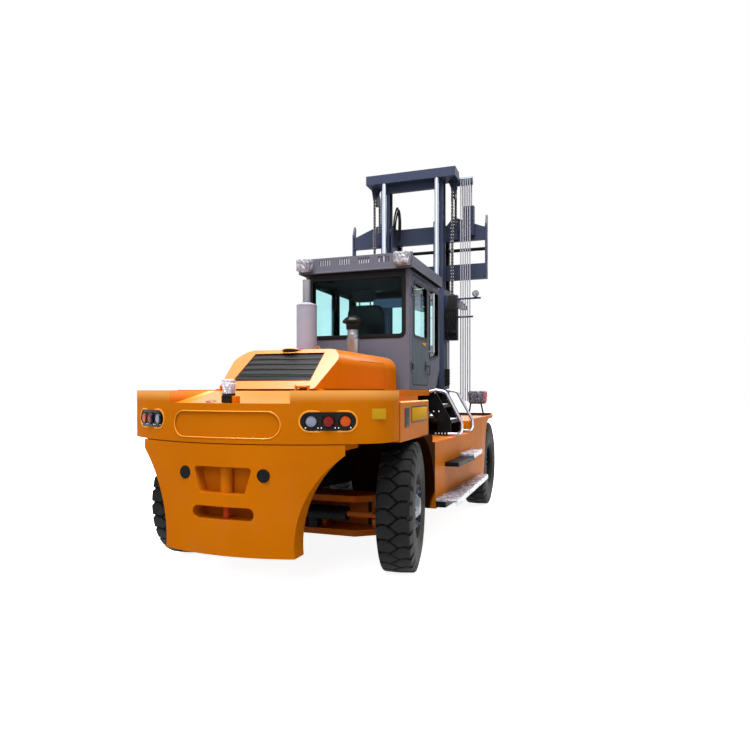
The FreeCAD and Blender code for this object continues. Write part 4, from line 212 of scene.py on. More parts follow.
def paint(name, colour, rough=0.38, coat=0.85, dust=0.08, shade=None, dark=0.05, painted_highlight=None, sheen=0.02):
    """Sprayed paint with drift, orange peel and dust that thickens towards the ground.

    The clear coat lies on what faces up. The shade mask marks painted shade, where the colour is darkened as
    if light were shut out, and the highlight mask marks a painted highlight, where the colour turns towards
    EDGE_LIGHT as if an edge caught the light.
    """
    s = Shader(name)
    place = s.split()
    coat = s.facing_up() * coat
    drift = s.noise(1.3, 3).ramp(0.3, 0.7)
    base = s.blend(drift, scaled(colour, 0.92), colour)
    splash_height = 1.1
    low = (splash_height - place[2]).ramp(0.0, splash_height)
    patch = s.noise(5.0, 6, 0.65).ramp(0.45, 0.75)
    dusty = (low * 0.7 + 0.3) * patch * dust
    base = s.blend(dusty, base, ROAD_DUST)
    # painted highlight: the colour turns towards EDGE_LIGHT where the highlight mask is 1
    if painted_highlight:
        base = s.blend(painted_highlight(*place), base, EDGE_LIGHT)
    roughness = s.noise(9.0, 4).ramp(0.3, 0.8) * 0.10 + rough + dusty * 0.8
    # painted shade: the colour darkens to dark times itself where the shade mask is 1, and the coat goes
    if shade:
        shut = shade(*place)
        base = s.blend(shut, base, scaled(colour, dark))
        roughness = roughness + shut * 0.5
        coat = (1 - shut) * coat
    return s.finish(Base_Color=base, Roughness=roughness, Specular_IOR_Level=sheen, Coat_Weight=coat,
                    Coat_IOR=1.8, Coat_Roughness=0.25, Normal=s.bump(s.noise(420.0, 2), 0.0006, 0.35))


def black_paint(name, colour=(0.0035, 0.0035, 0.004), rough=0.45, shine=0.06, coat=0.0):
    """Chassis black with dust and faint scuffs."""
    s = Shader(name)
    patch = s.noise(7.0, 6, 0.6).ramp(0.4, 0.8)
    scuff = s.noise(60.0, 4, 0.7, stretch=(1, 1, 0.2)).ramp(0.62, 0.75)
    base = s.blend(patch * 0.2, colour, (0.030, 0.028, 0.025))
    base = s.blend(scuff * 0.2, base, (0.02, 0.02, 0.02))
    return s.finish(Base_Color=base, Roughness=patch * 0.2 + rough, Specular_IOR_Level=shine,
                    Coat_Weight=s.facing_up() * coat, Coat_Roughness=0.22,
                    Normal=s.bump(s.noise(300.0, 2), 0.0005, 0.4))


def metal(name, colour, rough, scratch=0.08, weight=1.0):
    """Bare or plated metal with fine marks drawn along Z; weight is how metallic it looks."""
    s = Shader(name)
    drawn = s.noise(140.0, 4, 0.6, stretch=(1, 1, 0.05))
    smear = s.noise(6.0, 4).ramp(0.4, 0.7)
    base = s.blend(smear * 0.25, colour, scaled(colour, 0.72))
    return s.finish(Base_Color=base, Metallic=weight, Roughness=drawn * scratch + rough + smear * 0.06,
                    Normal=s.bump(drawn, 0.0003, 0.3))


def rubber(name, colour=(0.0030, 0.0030, 0.0032), rough=0.66, bloom_tone=0.008):
    """Matt rubber with faint bloom and dust."""
    s = Shader(name)
    bloom = s.noise(11.0, 5, 0.6).ramp(0.4, 0.8)
    base = s.blend(bloom * 0.5, colour, (bloom_tone, bloom_tone * 0.95, bloom_tone * 0.88))
    return s.finish(Base_Color=base, Roughness=bloom * 0.12 + rough, Specular_IOR_Level=0.14,
                    Normal=s.bump(s.noise(240.0, 3), 0.0006, 0.5))


def tinted_glass(name):
    """Teal safety glass, clear enough to show the seat, faintly smeared."""
    s = Shader(name)
    smudge = s.noise(3.0, 5, 0.6).ramp(0.45, 0.8)
    return s.finish(Base_Color=s.blend(smudge, (0.70, 0.95, 0.96), (0.64, 0.90, 0.92)),
                    Roughness=smudge * 0.04 + 0.01, Transmission_Weight=1.0, IOR=1.12)


def film(name, tint, edge=None):
    """Crumpled clear wrapping over something darker: soft creases with glossy ridges, red where edge is 1."""
    s = Shader(name)
    folds = s.noise(13.0, 4, 0.55)
    creases = s.cells(19.0, stretch=(1, 1, 0.6)).ramp(0.0, 0.22)
    fine = s.noise(70.0, 3, 0.6)
    tone = folds.ramp(0.36, 0.66)
    base = s.blend(tone, scaled(tint, 0.42), tint)
    base = s.blend((1 - creases) * 0.4, base, scaled(tint, 1.8))
    if edge:
        base = s.blend(edge(*s.split()), base, (0.42, 0.045, 0.05))
    bumps = s.bump(fine, 0.003, 0.5, s.bump(creases, 0.008, 0.9))
    return s.finish(Base_Color=base, Roughness=tone * 0.16 + 0.20, Coat_Weight=0.3, Coat_Roughness=0.10,
                    Normal=s.bump(folds, 0.02, 0.9, bumps))


def seat_cloth(name, colour=(0.005, 0.0055, 0.0065), threads=320):
    """Woven cloth: the product of two waves, one across and one up, with this many threads a metre."""
    s = Shader(name)
    x, _, z = s.split()
    weave = x.wave(threads) * z.wave(threads)
    return s.finish(Base_Color=s.blend(weave, colour, scaled(colour, 2.4)), Roughness=0.9,
                    Specular_IOR_Level=0.1, Normal=s.bump(weave, 0.0008, 0.6))


def lens(name, colour):
    """Moulded lamp lens with ribs of prisms, 170 a metre of height, and a faint painted glow in its own
    colour.
    """
    s = Shader(name)
    ribs = s.split()[2].wave(170)
    return s.finish(Base_Color=s.blend(ribs * 0.5, colour, scaled(colour, 0.45)), Roughness=0.2,
                    Specular_IOR_Level=0.1, Coat_Weight=0.08, Coat_Roughness=0.03,
                    Emission_Color=colour, Emission_Strength=0.1, Normal=s.bump(ribs, 0.0015, 0.5))


def punched_sheet(name, pitch=0.014):
    """Black punched sheet: round holes in a square grid, darker than the metal between them."""
    s = Shader(name)
    across, up = (s.split()[axis] * (1 / pitch) for axis in (0, 2))
    hole = length(across.of("FRACT") - 0.5, up.of("FRACT") - 0.5).ramp(0.36, 0.28)
    base = s.blend(hole, (0.045, 0.046, 0.05), (0.002, 0.002, 0.002))
    return s.finish(Base_Color=base, Metallic=0.6, Roughness=0.35, Normal=s.bump(1 - hole, 0.002, 0.8))


def rail_and_hinge(name, door_edge=-0.2):
    """Bright bent tube ahead of the door's edge, painted hinge barrels behind it."""
    s = Shader(name)
    bright = s.split()[1] > door_edge
    drawn = s.noise(140.0, 4, 0.6, stretch=(1, 1, 0.05))
    return s.finish(Base_Color=s.blend(bright, CAB_GREY, (0.42, 0.44, 0.46)), Metallic=bright * 0.7,
                    Roughness=drawn * 0.1 + 0.3, Specular_IOR_Level=0.1, Normal=s.bump(drawn, 0.0003, 0.3))


def cab_inside_shade(x, y, z):
    """Painted shade: 1 on the cab's inner walls, its window reveals and the eaves' underside, where the cab
    paint is darkened as if in shadow.
    """
    walls = (abs(x) < 0.6490) * (y > -0.9450) * (y < 0.545) * (z < 2.9595)
    eaves = (z < 2.9612) * (z > 2.9592)
    return walls.either(eaves)


def wheel_well_shade(x, y, z):
    """Painted shade: 1 on the walls and roofs of the wheel wells and on the tops shut in under the deck,
    where the paint is darkened as if in shadow.
    """
    rear = length(abs(x) - KINGPIN, y - REAR_AXLE).ramp(0.712, 0.698) * (z < 1.152)
    front = length(y - FRONT_AXLE, z - TYRE_RADIUS).ramp(0.775, 0.762) * (abs(x) < 1.318)
    inner = (abs(x) < 0.945) * (z < 1.45)
    return rear.either(front).either(inner)


def outer_edge(x, y, z):
    """Rises to 1 towards the outer edge of a wrapped mirror."""
    return abs(x).ramp(1.235, 1.300)


def tail_shoulder_highlight(x, y, z):
    """A painted highlight: rises to 0.75 towards the upper edge of the tail beside its recess, as if a rolled
    edge caught the light, and is 0 on the tail's top.
    """
    return z.ramp(1.470, 1.562) * (abs(x) > 0.455) * (z < 1.564) * 0.75


def under_tail_shade(x, y, z):
    """Painted shade: 1 on the tail's skirt as it is seen from inside, ahead of its outer face and below the
    band over it, where the paint is darkened as if in shadow.
    """
    return (y + 3.24).ramp(0.0, 0.03) * (z < 1.16)


MATERIAL = {
    "amber": paint("amber_paint", AMBER, sheen=0.004),
    "amber_tail": paint("amber_tail_paint", AMBER, shade=under_tail_shade, painted_highlight=tail_shoulder_highlight, sheen=0.004),
    "amber_side": paint("amber_side_paint", AMBER, shade=wheel_well_shade),
    # amber_dark is the amber at 0.30, a shaded copy: painted shade
    "amber_dark": paint("amber_shadow_paint", scaled(AMBER, 0.30)),
    # amber_lit is a lit copy of the amber: painted highlight for the beads, lips and rims along edges
    "amber_lit": paint("amber_highlight_paint", (0.80, 0.31, 0.030), coat=0.8),
    "cab": paint("cab_grey_paint", CAB_GREY, dust=0.04, coat=0.3, shade=cab_inside_shade, dark=0.04),
    "door": paint("door_grey_paint", DOOR_GREY, dust=0.04, shade=cab_inside_shade, dark=0.04),
    "slate": paint("mast_slate_paint", SLATE, dust=0.05),
    "red": paint("tow_pin_red", (0.45, 0.045, 0.006)),
    "axle": paint("axle_orange_paint", AXLE_ORANGE, rough=0.5, coat=0.0, dust=0.4),
    "rim": paint("rim_dark", (0.010, 0.013, 0.011), rough=0.5, coat=0.0, dust=0.06),
    "label": paint("blank_label", (0.50, 0.27, 0.012), rough=0.5, dust=0.0),
    "black": black_paint("chassis_black"),
    "gloss_black": black_paint("gloss_black", (0.0025, 0.0025, 0.003), 0.2, 0.12),
    "grille": black_paint("grille_black", (0.003, 0.003, 0.004), coat=0.35),
    "mesh": punched_sheet("punched_sheet"),
    "fittings": rail_and_hinge("rail_and_hinge"),
    "chrome": metal("rod_chrome", (0.46, 0.50, 0.62), 0.16, 0.05),
    "tube": metal("bright_tube", (0.42, 0.41, 0.47), 0.30),
    "tread": metal("tread_plate", (0.85, 0.84, 0.88), 0.5, 0.2, weight=0.1),
    "stack": metal("stack_grey", (0.25, 0.245, 0.31), 0.55, 0.12, weight=0.2),
    "intake": metal("intake_steel", (0.20, 0.20, 0.22), 0.26, 0.3),
    "chain": metal("chain_steel", (0.012, 0.012, 0.015), 0.5, 0.2, weight=0.2),
    "bolt": metal("bolt_zinc", (0.62, 0.62, 0.60), 0.3, 0.1),
    "hub": metal("hub_steel", (0.060, 0.068, 0.095), 0.42, 0.2, weight=0.4),
    "hub_face": metal("hub_face_steel", (0.13, 0.135, 0.15), 0.34, 0.15),
    "hose": metal("hose_sleeve", (0.26, 0.25, 0.29), 0.35, 0.1, weight=0.3),
    "tyre": rubber("tyre_rubber", (0.0024, 0.0024, 0.0026)),
    "black_hose": rubber("black_hose"),
    "seal": rubber("window_seal", (0.0025, 0.0025, 0.003), 0.5, 0.006),
    "glass": tinted_glass("cab_glass"),
    "film": film("wrapping_film", (0.25, 0.25, 0.29)),
    "film_mirror": film("mirror_film", (0.075, 0.072, 0.095), outer_edge),
    "film_step": film("step_film", (0.25, 0.235, 0.28)),
    "film_beacon": film("beacon_film", (0.62, 0.58, 0.64)),
    "seat": seat_cloth("seat_cloth"),
    "lens_white": lens("lens_white", (0.24, 0.26, 0.36)),
    "lens_red": lens("lens_red", (0.20, 0.004, 0.002)),
    "lens_amber": lens("lens_amber", (0.55, 0.070, 0.003)),
}

# the finish of each CAD node that is shown as it is
NODE_FINISH = {
    "amber": ["hood", "cowl", "deck", "hood_hinges"],
    "amber_tail": ["counterweight"],
    "amber_side": ["side_bodies"],
    "cab": ["cab_shell", "cab_roof"],
    "door": ["door_right", "door_left"],
    "slate": ["mast_outer", "mast_inner", "carriage", "lift_barrels", "tilt_barrel_right",
              "tilt_barrel_left"],
    "black": ["frame", "engine", "stairs", "steer_cylinder", "drive_axle", "fork_positioner",
              "dash_and_wheel", "fork_right", "fork_left", "tail_plugs", "side_steps"],
    "axle": ["steer_axle", "knuckle_right", "knuckle_left", "steer_rod"],
    "rim": ["front_rims_right", "front_rims_left", "rear_rim_right", "rear_rim_left"],
    "glass": ["cab_glass", "door_glass_right", "door_glass_left"],
    "chrome": ["lift_rods", "tilt_rod_right", "tilt_rod_left"],
    "tube": ["handrails"],
    "fittings": ["cab_fittings"],
    "grille": ["hood_grille"],
    "red": ["tow_pin"],
    "stack": ["muffler"],
    "gloss_black": ["rear_lamps"],
}
for finish_name, names in NODE_FINISH.items():
    for node_name in names:
        materials = frame["nodes"][node_name].data.materials
        materials.clear()
        materials.append(MATERIAL[finish_name])


# ---------------------------------------------------------------- forms

def round_turn(sides):
    """Equal turns round a circle, without the last that would meet the first."""
    return np.linspace(0, 2 * np.pi, sides, endpoint=False)


def squared(wave, power):
    """A sine or cosine raised to a power under one with its sign kept, which squares a circle's corners."""
    return np.sign(wave) * np.abs(wave) ** power


def step(value, low, high):
    """0 below low, 1 above high, and 3t^2 - 2t^3 between them."""
    t = np.clip((value - low) / (high - low), 0, 1)
    return t * t * (3 - 2 * t)


def surface(points, round_rows=False, round_columns=False):
    """A grid of points (rows, columns, 3) as a shell of quads; a row shrunk to a point becomes a pole.

    Points are numbered row by row, and a round direction joins its last line to its first.
    """
    rows, columns = points.shape[:2]
    i, j = np.meshgrid(np.arange(rows if round_rows else rows - 1),
                       np.arange(columns if round_columns else columns - 1), indexing="ij")
    i, j = i.ravel(), j.ravel()
    here, after = i * columns, (i + 1) % rows * columns
    next_j = (j + 1) % columns
    faces = np.stack([here + j, after + j, after + next_j, here + next_j], 1)
    return points.reshape(-1, 3), faces.tolist()


def loft(outlines):
    """Closed outlines (rows, n, 3) joined one after another, with flat ends."""
    vertices, faces = surface(outlines, round_columns=True)
    count, last = outlines.shape[1], len(vertices)
    return vertices, faces + [list(range(count))[::-1], list(range(last - count, last))]


def carried(outline, path):
    """A closed outline (n, 2) carried along a path (m, 3), turning with it, with flat ends."""
    outline, path = np.asarray(outline, float), np.asarray(path, float)
    ahead = np.gradient(path, axis=0)
    ahead /= np.linalg.norm(ahead, axis=1)[:, None]
    side = np.cross(ahead[0], (0.0, 0.0, 1.0) if abs(ahead[0][2]) < 0.9 else (0.0, 1.0, 0.0))
    rows = []
    for at, direction in zip(path, ahead):
        side = side - direction * (side @ direction)
        side = side / np.linalg.norm(side)
        rows.append(at + outline[:, :1] * side + outline[:, 1:] * np.cross(direction, side))
    return loft(np.array(rows))


def tube(path, radius, sides=12):
    """A circle, the cosine and sine of equal turns, carried along a path."""
    turn = round_turn(sides)
    return carried(radius * np.stack([np.cos(turn), np.sin(turn)], 1), path)


def turned_grid(radius, height, turn):
    """Points at these radii and heights, both columns, turned about Z."""
    return np.stack([radius * np.cos(turn), radius * np.sin(turn), height + 0 * turn], 2)


def turned_form(profile, sides=48):
    """A profile of (radius, height) points turned about Z; a radius of nought closes it."""
    radius, height = np.asarray(profile, float).T[:, :, None]
    return surface(turned_grid(radius, height, round_turn(sides)), round_columns=True)


def pillow(size, roundness=0.35, rows=20, columns=32):
    """A rounded block: squared cosines and sines of two turns, times the half sizes."""
    up = np.linspace(-np.pi / 2, np.pi / 2, rows)[:, None]
    turn = round_turn(columns)[None, :]
    out = squared(np.cos(up), roundness)
    points = np.stack([out * squared(np.cos(turn), roundness), out * squared(np.sin(turn), roundness),
                       squared(np.sin(up), roundness) + 0 * turn], 2)
    return surface(points * np.asarray(size) / 2, round_columns=True)


def rounded_outline(points, radii, steps=6):
    """A polygon (n, 2) whose corners are arcs of these radii, each swept in equal turns."""
    points = np.asarray(points, float)
    out = []
    for i, corner in enumerate(points):
        before, after = points[i - 1] - corner, points[(i + 1) % len(points)] - corner
        before, after = before / np.linalg.norm(before), after / np.linalg.norm(after)
        radius = radii[i] if hasattr(radii, "__len__") else radii
        half = math.acos(np.clip(before @ after, -1, 1)) / 2
        centre = corner + (before + after) / np.linalg.norm(before + after) * radius / math.sin(half)
        start, end = corner + before * radius / math.tan(half), corner + after * radius / math.tan(half)
        first = math.atan2(*(start - centre)[::-1])
        sweep = math.atan2(*(end - centre)[::-1]) - first
        sweep = (sweep + math.pi) % (2 * math.pi) - math.pi
        turn = first + np.linspace(0, sweep, steps)
        out.append(centre + radius * np.stack([np.cos(turn), np.sin(turn)], 1))
    return np.concatenate(out)


def framed(low_a, high_a, low_b, high_b):
    """The corners of an oblong between two places in one direction and two in the other."""
    return [(low_a, low_b), (high_a, low_b), (high_a, high_b), (low_a, high_b)]


def oblong(low_a, high_a, low_b, high_b, radius, steps=6):
    """An oblong with rounded corners."""
    return rounded_outline(framed(low_a, high_a, low_b, high_b), radius, steps)


def flat_bar(half_a, half_b, radius, steps=6):
    """An oblong about nought, from its half sizes."""
    return oblong(-half_a, half_a, -half_b, half_b, radius, steps)


def finer(outline, gap=0.03):
    """The same closed outline with points no further apart than the gap."""
    out = []
    for start, end in zip(outline, np.roll(outline, -1, 0)):
        parts = max(1, math.ceil(np.linalg.norm(end - start) / gap))
        out += [start + (end - start) * k / parts for k in range(parts)]
    return np.array(out)


def slab(outline, low, high, edge=0.0):
    """An outline (n, 2) standing from low to high in Z, its two edges rounded by quarter circles."""
    outline = np.asarray(outline, float)
    middle = outline.mean(0)
    reach = np.abs(outline - middle).max()
    turn = np.linspace(0, np.pi / 2, 4)
    inset, rise = edge * (1 - np.sin(turn)), edge * (1 - np.cos(turn))
    levels = list(zip(inset, low + rise)) + list(zip(inset[::-1], high - rise[::-1]))
    rows = [np.column_stack([middle + (outline - middle) * (1 - drawn_in / reach), np.full(len(outline), z)])
            for drawn_in, z in levels]
    return loft(np.array(rows))


def band(outline, width, depth):
    """A closed strip along an outline (n, 3), its section a squared circle of this width and depth."""
    outline = np.asarray(outline, float)
    middle = outline.mean(0)
    ahead = np.roll(outline, -1, 0) - np.roll(outline, 1, 0)
    ahead /= np.linalg.norm(ahead, axis=1)[:, None]
    through = np.cross(outline[0] - middle, outline[len(outline) // 4] - middle)
    through /= np.linalg.norm(through)
    across = np.cross(ahead, through)
    turn = round_turn(12)
    sideways = squared(np.cos(turn), 0.5)[None, :, None] * width / 2
    inwards = squared(np.sin(turn), 0.5)[None, :, None] * depth / 2
    return surface(outline[:, None, :] + across[:, None, :] * sideways + through * inwards, True, True)


def moved(shell, at=(0, 0, 0), turns=(0, 0, 0), mirror=False):
    """The shell turned about X, then Y, then Z, and moved; mirror flips it from right to left afterwards."""
    vertices, faces = shell
    for axis, angle in enumerate(turns):
        c, s = math.cos(angle), math.sin(angle)
        matrix = np.eye(3)
        a, b = (axis + 1) % 3, (axis + 2) % 3
        matrix[a, a], matrix[a, b], matrix[b, a], matrix[b, b] = c, -s, s, c
        vertices = vertices @ matrix.T
    vertices = vertices + np.asarray(at, float)
    if mirror:
        vertices = vertices * (-1, 1, 1)
    return vertices, faces


def facing_x(shell, at=(0, 0, 0)):
    """A form turned so that its Z points along X and its X points down, at a place."""
    return moved(shell, at, (0, QUARTER, 0))


def on_side(shells, sign):
    """Forms made for the right side: as they are there, and mirrored on the left."""
    return [moved(shell, mirror=sign < 0) for shell in shells]


def both_sides(shells):
    return list(shells) + on_side(shells, -1)


def piece(name, body, finish, shells, sharp=0.7, ends=None):
    """The shells joined as one mesh, smooth but for edges sharper than the given angle.

    It rides on a body; where ends are given, it is left fixed where it stands instead, and neither the body
    nor the places of the ends are used.
    """
    vertices, faces, start = [], [], 0
    for points, quads in shells:
        vertices.append(points)
        faces += [[corner + start for corner in face] for face in quads]
        start += len(points)
    mesh = bpy.data.meshes.new(name)
    mesh.from_pydata(np.concatenate(vertices).tolist(), [], faces)
    work = bmesh.new()
    work.from_mesh(mesh)
    bmesh.ops.remove_doubles(work, verts=work.verts, dist=1e-5)
    bmesh.ops.recalc_face_normals(work, faces=work.faces)
    work.to_mesh(mesh)
    work.free()
    mesh.polygons.foreach_set("use_smooth", [True] * len(mesh.polygons))
    mesh.set_sharp_from_angle(angle=sharp)
    mesh.materials.append(MATERIAL[finish])
    made = bpy.data.objects.new(name, mesh)
    bpy.context.collection.objects.link(made)
    if ends:
        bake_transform(made)
    else:
        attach(made, body)
    return made


# ---------------------------------------------------------------- wheels

# the right half of a tyre's section from bead to crown, as (across, radius), and the radius of each corner
TYRE_HALF = [(0.115, 0.262), (0.136, 0.268), (0.158, 0.372), (0.153, 0.470), (0.131, 0.556)]
TYRE_CORNERS = [0.001, 0.012, 0.10, 0.10, 0.020]
CROWN_CORNER = 0.9
LUGS = 28
GROOVE_DEEP, RING_DEEP = 0.021, 0.003
SHOULDER_LOW, SHOULDER_HIGH = 0.475, 0.53
TWIN_GAP = 0.351


def lugged_tyre(around, across):
    """A tyre about X: a bulging section turned about the axle, two rows of hexagonal lugs cut by grooves.

    The centre groove is a zigzag in the turn, one tooth a lug; from each corner a groove leads straight to
    the shoulder and widens there into a scallop. Each groove lowers the surface along the section's own
    normal, most at the tread and not at all below the shoulder. Thin grooves ring the side wall.
    """
    section = TYRE_HALF + [(0.0, TYRE_RADIUS)] + [(-a, r) for a, r in TYRE_HALF[::-1]]
    wall = rounded_outline(section, TYRE_CORNERS + [CROWN_CORNER] + TYRE_CORNERS[::-1], 9)[4:-4]
    travel = np.concatenate([[0], np.cumsum(np.linalg.norm(np.diff(wall, axis=0), axis=1))])
    along = np.linspace(0, 1, across) * travel[-1]
    a, r = np.interp(along, travel, wall[:, 0]), np.interp(along, travel, wall[:, 1])
    slope = np.stack([np.gradient(a), np.gradient(r)], 1)
    slope /= np.linalg.norm(slope, axis=1)[:, None]
    normal = np.array([-slope[:, 1], slope[:, 0]])
    normal *= np.sign(normal[1, across // 2])
    turn = round_turn(around)[:, None]
    unit = turn / (2 * np.pi) * LUGS
    out = np.abs(a)
    tooth = np.abs((unit % 1) - 0.5) * 4 - 1
    centre = (1 - step(np.abs(a - 0.040 * tooth), 0.006, 0.013)) * (out < 0.055)
    bow = 0.10 * np.sin(np.pi * np.clip((out - 0.04) / 0.09, 0, 1))
    pitch = 2 * np.pi * TYRE_RADIUS / LUGS
    away = np.abs((unit + np.where(a > 0, 0.0, 0.5) + bow + 0.5) % 1 - 0.5) * pitch
    wide = 0.0035 + 0.013 * step(out, 0.10, 0.15)
    side = (1 - step(away, wide, wide + 0.005)) * (out > 0.038)
    depth = GROOVE_DEEP * np.maximum(centre, side) * step(r, SHOULDER_LOW, SHOULDER_HIGH)
    rings = step(np.abs(np.sin(np.pi * (r - 0.33) / 0.05)), 0.96, 1.0) * (r < 0.42) * (r > 0.3)
    depth = depth + RING_DEEP * rings
    x, radius = a - depth * normal[0], r - depth * normal[1]
    grid = np.stack([x + 0 * turn, radius * np.cos(turn), radius * np.sin(turn)], 2)
    return surface(grid, round_rows=True, round_columns=True)


def hex_nuts(count, ring, at, radius=0.017, deep=0.022):
    """Hexagonal nuts with domed tops, turned about X in equal steps round a ring."""
    nut = turned_form([(0, 0), (radius, 0), (radius, deep * 0.8), (radius * 0.7, deep),
                       (radius * 0.45, deep * 1.05), (radius * 0.45, deep * 1.5), (0, deep * 1.6)], 6)
    return [moved(facing_x(nut, (at, ring, 0)), turns=(turn, 0, 0)) for turn in round_turn(count)]


def at_front_wheel(shell, sign, inner=0.0):
    """A form made about a right tyre's middle, put on the outer front tyre or inwards from it."""
    return moved(shell, (1.155 - inner, FRONT_AXLE, TYRE_RADIUS), mirror=sign < 0)


def at_rear_wheel(shell, sign):
    """A form made about a right wheel's middle, put out from its kingpin and turned with the steering."""
    out = moved(moved(shell, mirror=sign < 0), (sign * REAR_OUT, 0, 0))
    return moved(out, (sign * KINGPIN, REAR_AXLE, TYRE_RADIUS), (0, 0, STEER))


fine_tyre, plain_tyre = lugged_tyre(LUGS * 18, 88), lugged_tyre(LUGS * 12, 60)
flange = turned_form([(0, 0.118), (0.105, 0.118), (0.112, 0.108), (0.150, 0.100), (0.190, 0.100),
                      (0.206, 0.094), (0.212, 0.080), (0.212, 0.048), (0, 0.048)])
hub_cap = turned_form([(0, 0.158), (0.062, 0.158), (0.074, 0.152), (0.082, 0.138), (0.088, 0.132),
                       (0.098, 0.130), (0.104, 0.122), (0.104, 0.112), (0, 0.112)])
hub_flange = [facing_x(flange)] + hex_nuts(10, 0.172, 0.098, 0.020, 0.030)
front_nuts = hex_nuts(10, 0.112, 0.062)
for sign, word in SIDES:
    rear_wheel, front_wheel = "rear_wheel_" + word, "front_wheel_" + word
    tread = piece("rear_tread_" + word, rear_wheel, "tyre", [at_rear_wheel(fine_tyre, sign)], sharp=1.0)
    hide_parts("rear_tyre_" + word)
    twins = [at_front_wheel(plain_tyre, sign, inner) for inner in (0.0, TWIN_GAP)]
    tread = piece("front_treads_" + word, front_wheel, "tyre", twins, sharp=1.0)
    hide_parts("front_tyres_" + word)
    piece("rear_hub_flange_" + word, rear_wheel, "hub", [at_rear_wheel(shell, sign) for shell in hub_flange])
    piece("rear_hub_cap_" + word, rear_wheel, "hub_face", [at_rear_wheel(facing_x(hub_cap), sign)])
    piece("front_nuts_" + word, front_wheel, "hub", [at_front_wheel(nut, sign) for nut in front_nuts])


# ---------------------------------------------------------------- tail

TAIL_CENTRE, TAIL_RADIUS = -1.93, 1.8
RECESS_FLOOR = 1.4703
LAMP_TURN, LAMP_HEIGHT, LAMP_GAP = math.radians(26), 1.338, 0.125
BEACON_Y = -3.625


def on_tail(angle, radius, height):
    """Places on the tail's round face, by the turn from its middle, the radius and the height."""
    return np.stack([radius * np.sin(angle), TAIL_CENTRE - radius * np.cos(angle), height], -1)


def turned_to_cluster(shell):
    """A form made on a circle about Z, swung round the tail's centre to the right lamp cluster."""
    return moved(shell, (0, TAIL_CENTRE, 0), (0, 0, LAMP_TURN))


def on_cluster(shell, across, height, out):
    """A form whose Z points outwards, put on the lamp cluster's face."""
    return turned_to_cluster(moved(shell, (across, -out, height), (QUARTER, 0, 0)))


def lens_dome(radius=0.0405, proud=0.008):
    """A shallow lens: a quarter of an ellipse of the given rise turned about Z, on a short skirt."""
    curve = [(radius * math.cos(t), proud * math.sin(t)) for t in np.linspace(0, 1, 9) * QUARTER]
    return turned_form([(0, -0.01), (radius, -0.01)] + curve, 40)


# across the cluster and out to the lens's seat, for white, red and amber
LAMPS = [((k - 1) * LAMP_GAP, 1.809 - 0.01 * abs(k - 1)) for k in range(3)]
for finish, (across, out) in zip(("lens_white", "lens_red", "lens_amber"), LAMPS):
    dome = on_cluster(lens_dome(), across, LAMP_HEIGHT, out)
    piece("tail_" + finish, "chassis", finish, both_sides([dome]))
lens_rim = turned_form([(0.041, -0.012), (0.048, -0.012), (0.048, 0.004), (0.044, 0.009), (0.041, 0.004)])
rims = [on_cluster(lens_rim, across, LAMP_HEIGHT, out) for across, out in LAMPS]
piece("lens_rims", "chassis", "gloss_black", both_sides(rims))
screw = pillow((0.009, 0.009, 0.005), 0.8, 8, 12)
screws = [on_cluster(screw, across, LAMP_HEIGHT - 0.046, 1.798)
          for across in (-0.165, -0.075, -0.05, 0.05, 0.075, 0.165)]
piece("lamp_screws", "chassis", "bolt", both_sides(screws))
# lit amber lips round each cluster: a painted highlight on the cluster's rim
x, z = flat_bar(0.211, 0.0745, 0.074, 12).T
lip = band(np.column_stack([x, -np.sqrt(TAIL_RADIUS ** 2 - x ** 2), z + LAMP_HEIGHT]), 0.013, 0.008)
piece("lamp_lips", "chassis", "amber_lit", both_sides([turned_to_cluster(lip)]))

# the bead round the blank name hollow, its middle line just inside the tail's face; it is lit amber, a
# painted highlight along the hollow's edge
BEAD_RADIUS = 1.7995
x, z = finer(oblong(-0.461, 0.461, 1.212, 1.410, 0.098, 14)).T
bead = on_tail(np.arcsin(x / BEAD_RADIUS), BEAD_RADIUS, z)
piece("name_plate_bead", "chassis", "amber_lit", [tube(np.vstack([bead, bead[:1]]), 0.0045, 8)])


def tail_label(half_across, low, high, turn, proud):
    """A label on the tail's arc: a grid of turns and heights, pushed out a little inside its edge."""
    u, v = np.linspace(-1, 1, 13)[:, None], np.linspace(-1, 1, 9)[None, :]
    inside = 1 - np.maximum(np.abs(u), np.abs(v)) ** 12
    angle = turn + u * half_across / TAIL_RADIUS + 0 * v
    height = (low + high) / 2 + v * (high - low) / 2 + 0 * u
    return surface(on_tail(angle, TAIL_RADIUS + 0.0003 + proud * inside, height))


piece("blank_tail_label", "chassis", "label", [tail_label(0.055, 1.350, 1.430, 0.665, 0.0012)])

# ---------------------------------------------------------------- beacon

stand = slab(flat_bar(0.044, 0.04, 0.008), RECESS_FLOOR, 1.528, 0.006)
collar = turned_form([(0, 1.522), (0.046, 1.522), (0.050, 1.530), (0.050, 1.541), (0.044, 1.546),
                      (0, 1.546)], 40)
piece("beacon_stand", "chassis", "gloss_black", [moved(shell, (0, BEACON_Y, 0)) for shell in (stand, collar)])
side_block = slab(flat_bar(0.02, 0.03, 0.006), RECESS_FLOOR, 1.524, 0.004)
piece("beacon_side_block", "chassis", "amber", [moved(side_block, (0.062, BEACON_Y, 0))])


def beacon_bag(base=1.541, tall=0.110, radius=0.0485):
    """A bag over a lamp: a cylinder that closes as a root towards its top, with three waves round it."""
    turn, rise = round_turn(72)[None, :], np.linspace(0, 1, 44)[:, None]
    wrinkle = (0.0022 * np.sin(7 * turn + 9 * rise) + 0.0016 * np.sin(13 * turn - 17 * rise)
               + 0.001 * np.sin(31 * rise + turn))
    body = radius * np.minimum(1, ((1 - rise) / 0.06) ** 0.5) + wrinkle * (rise < 0.97) * (rise > 0.03)
    return surface(turned_grid(body, base + tall * rise, turn), round_columns=True)


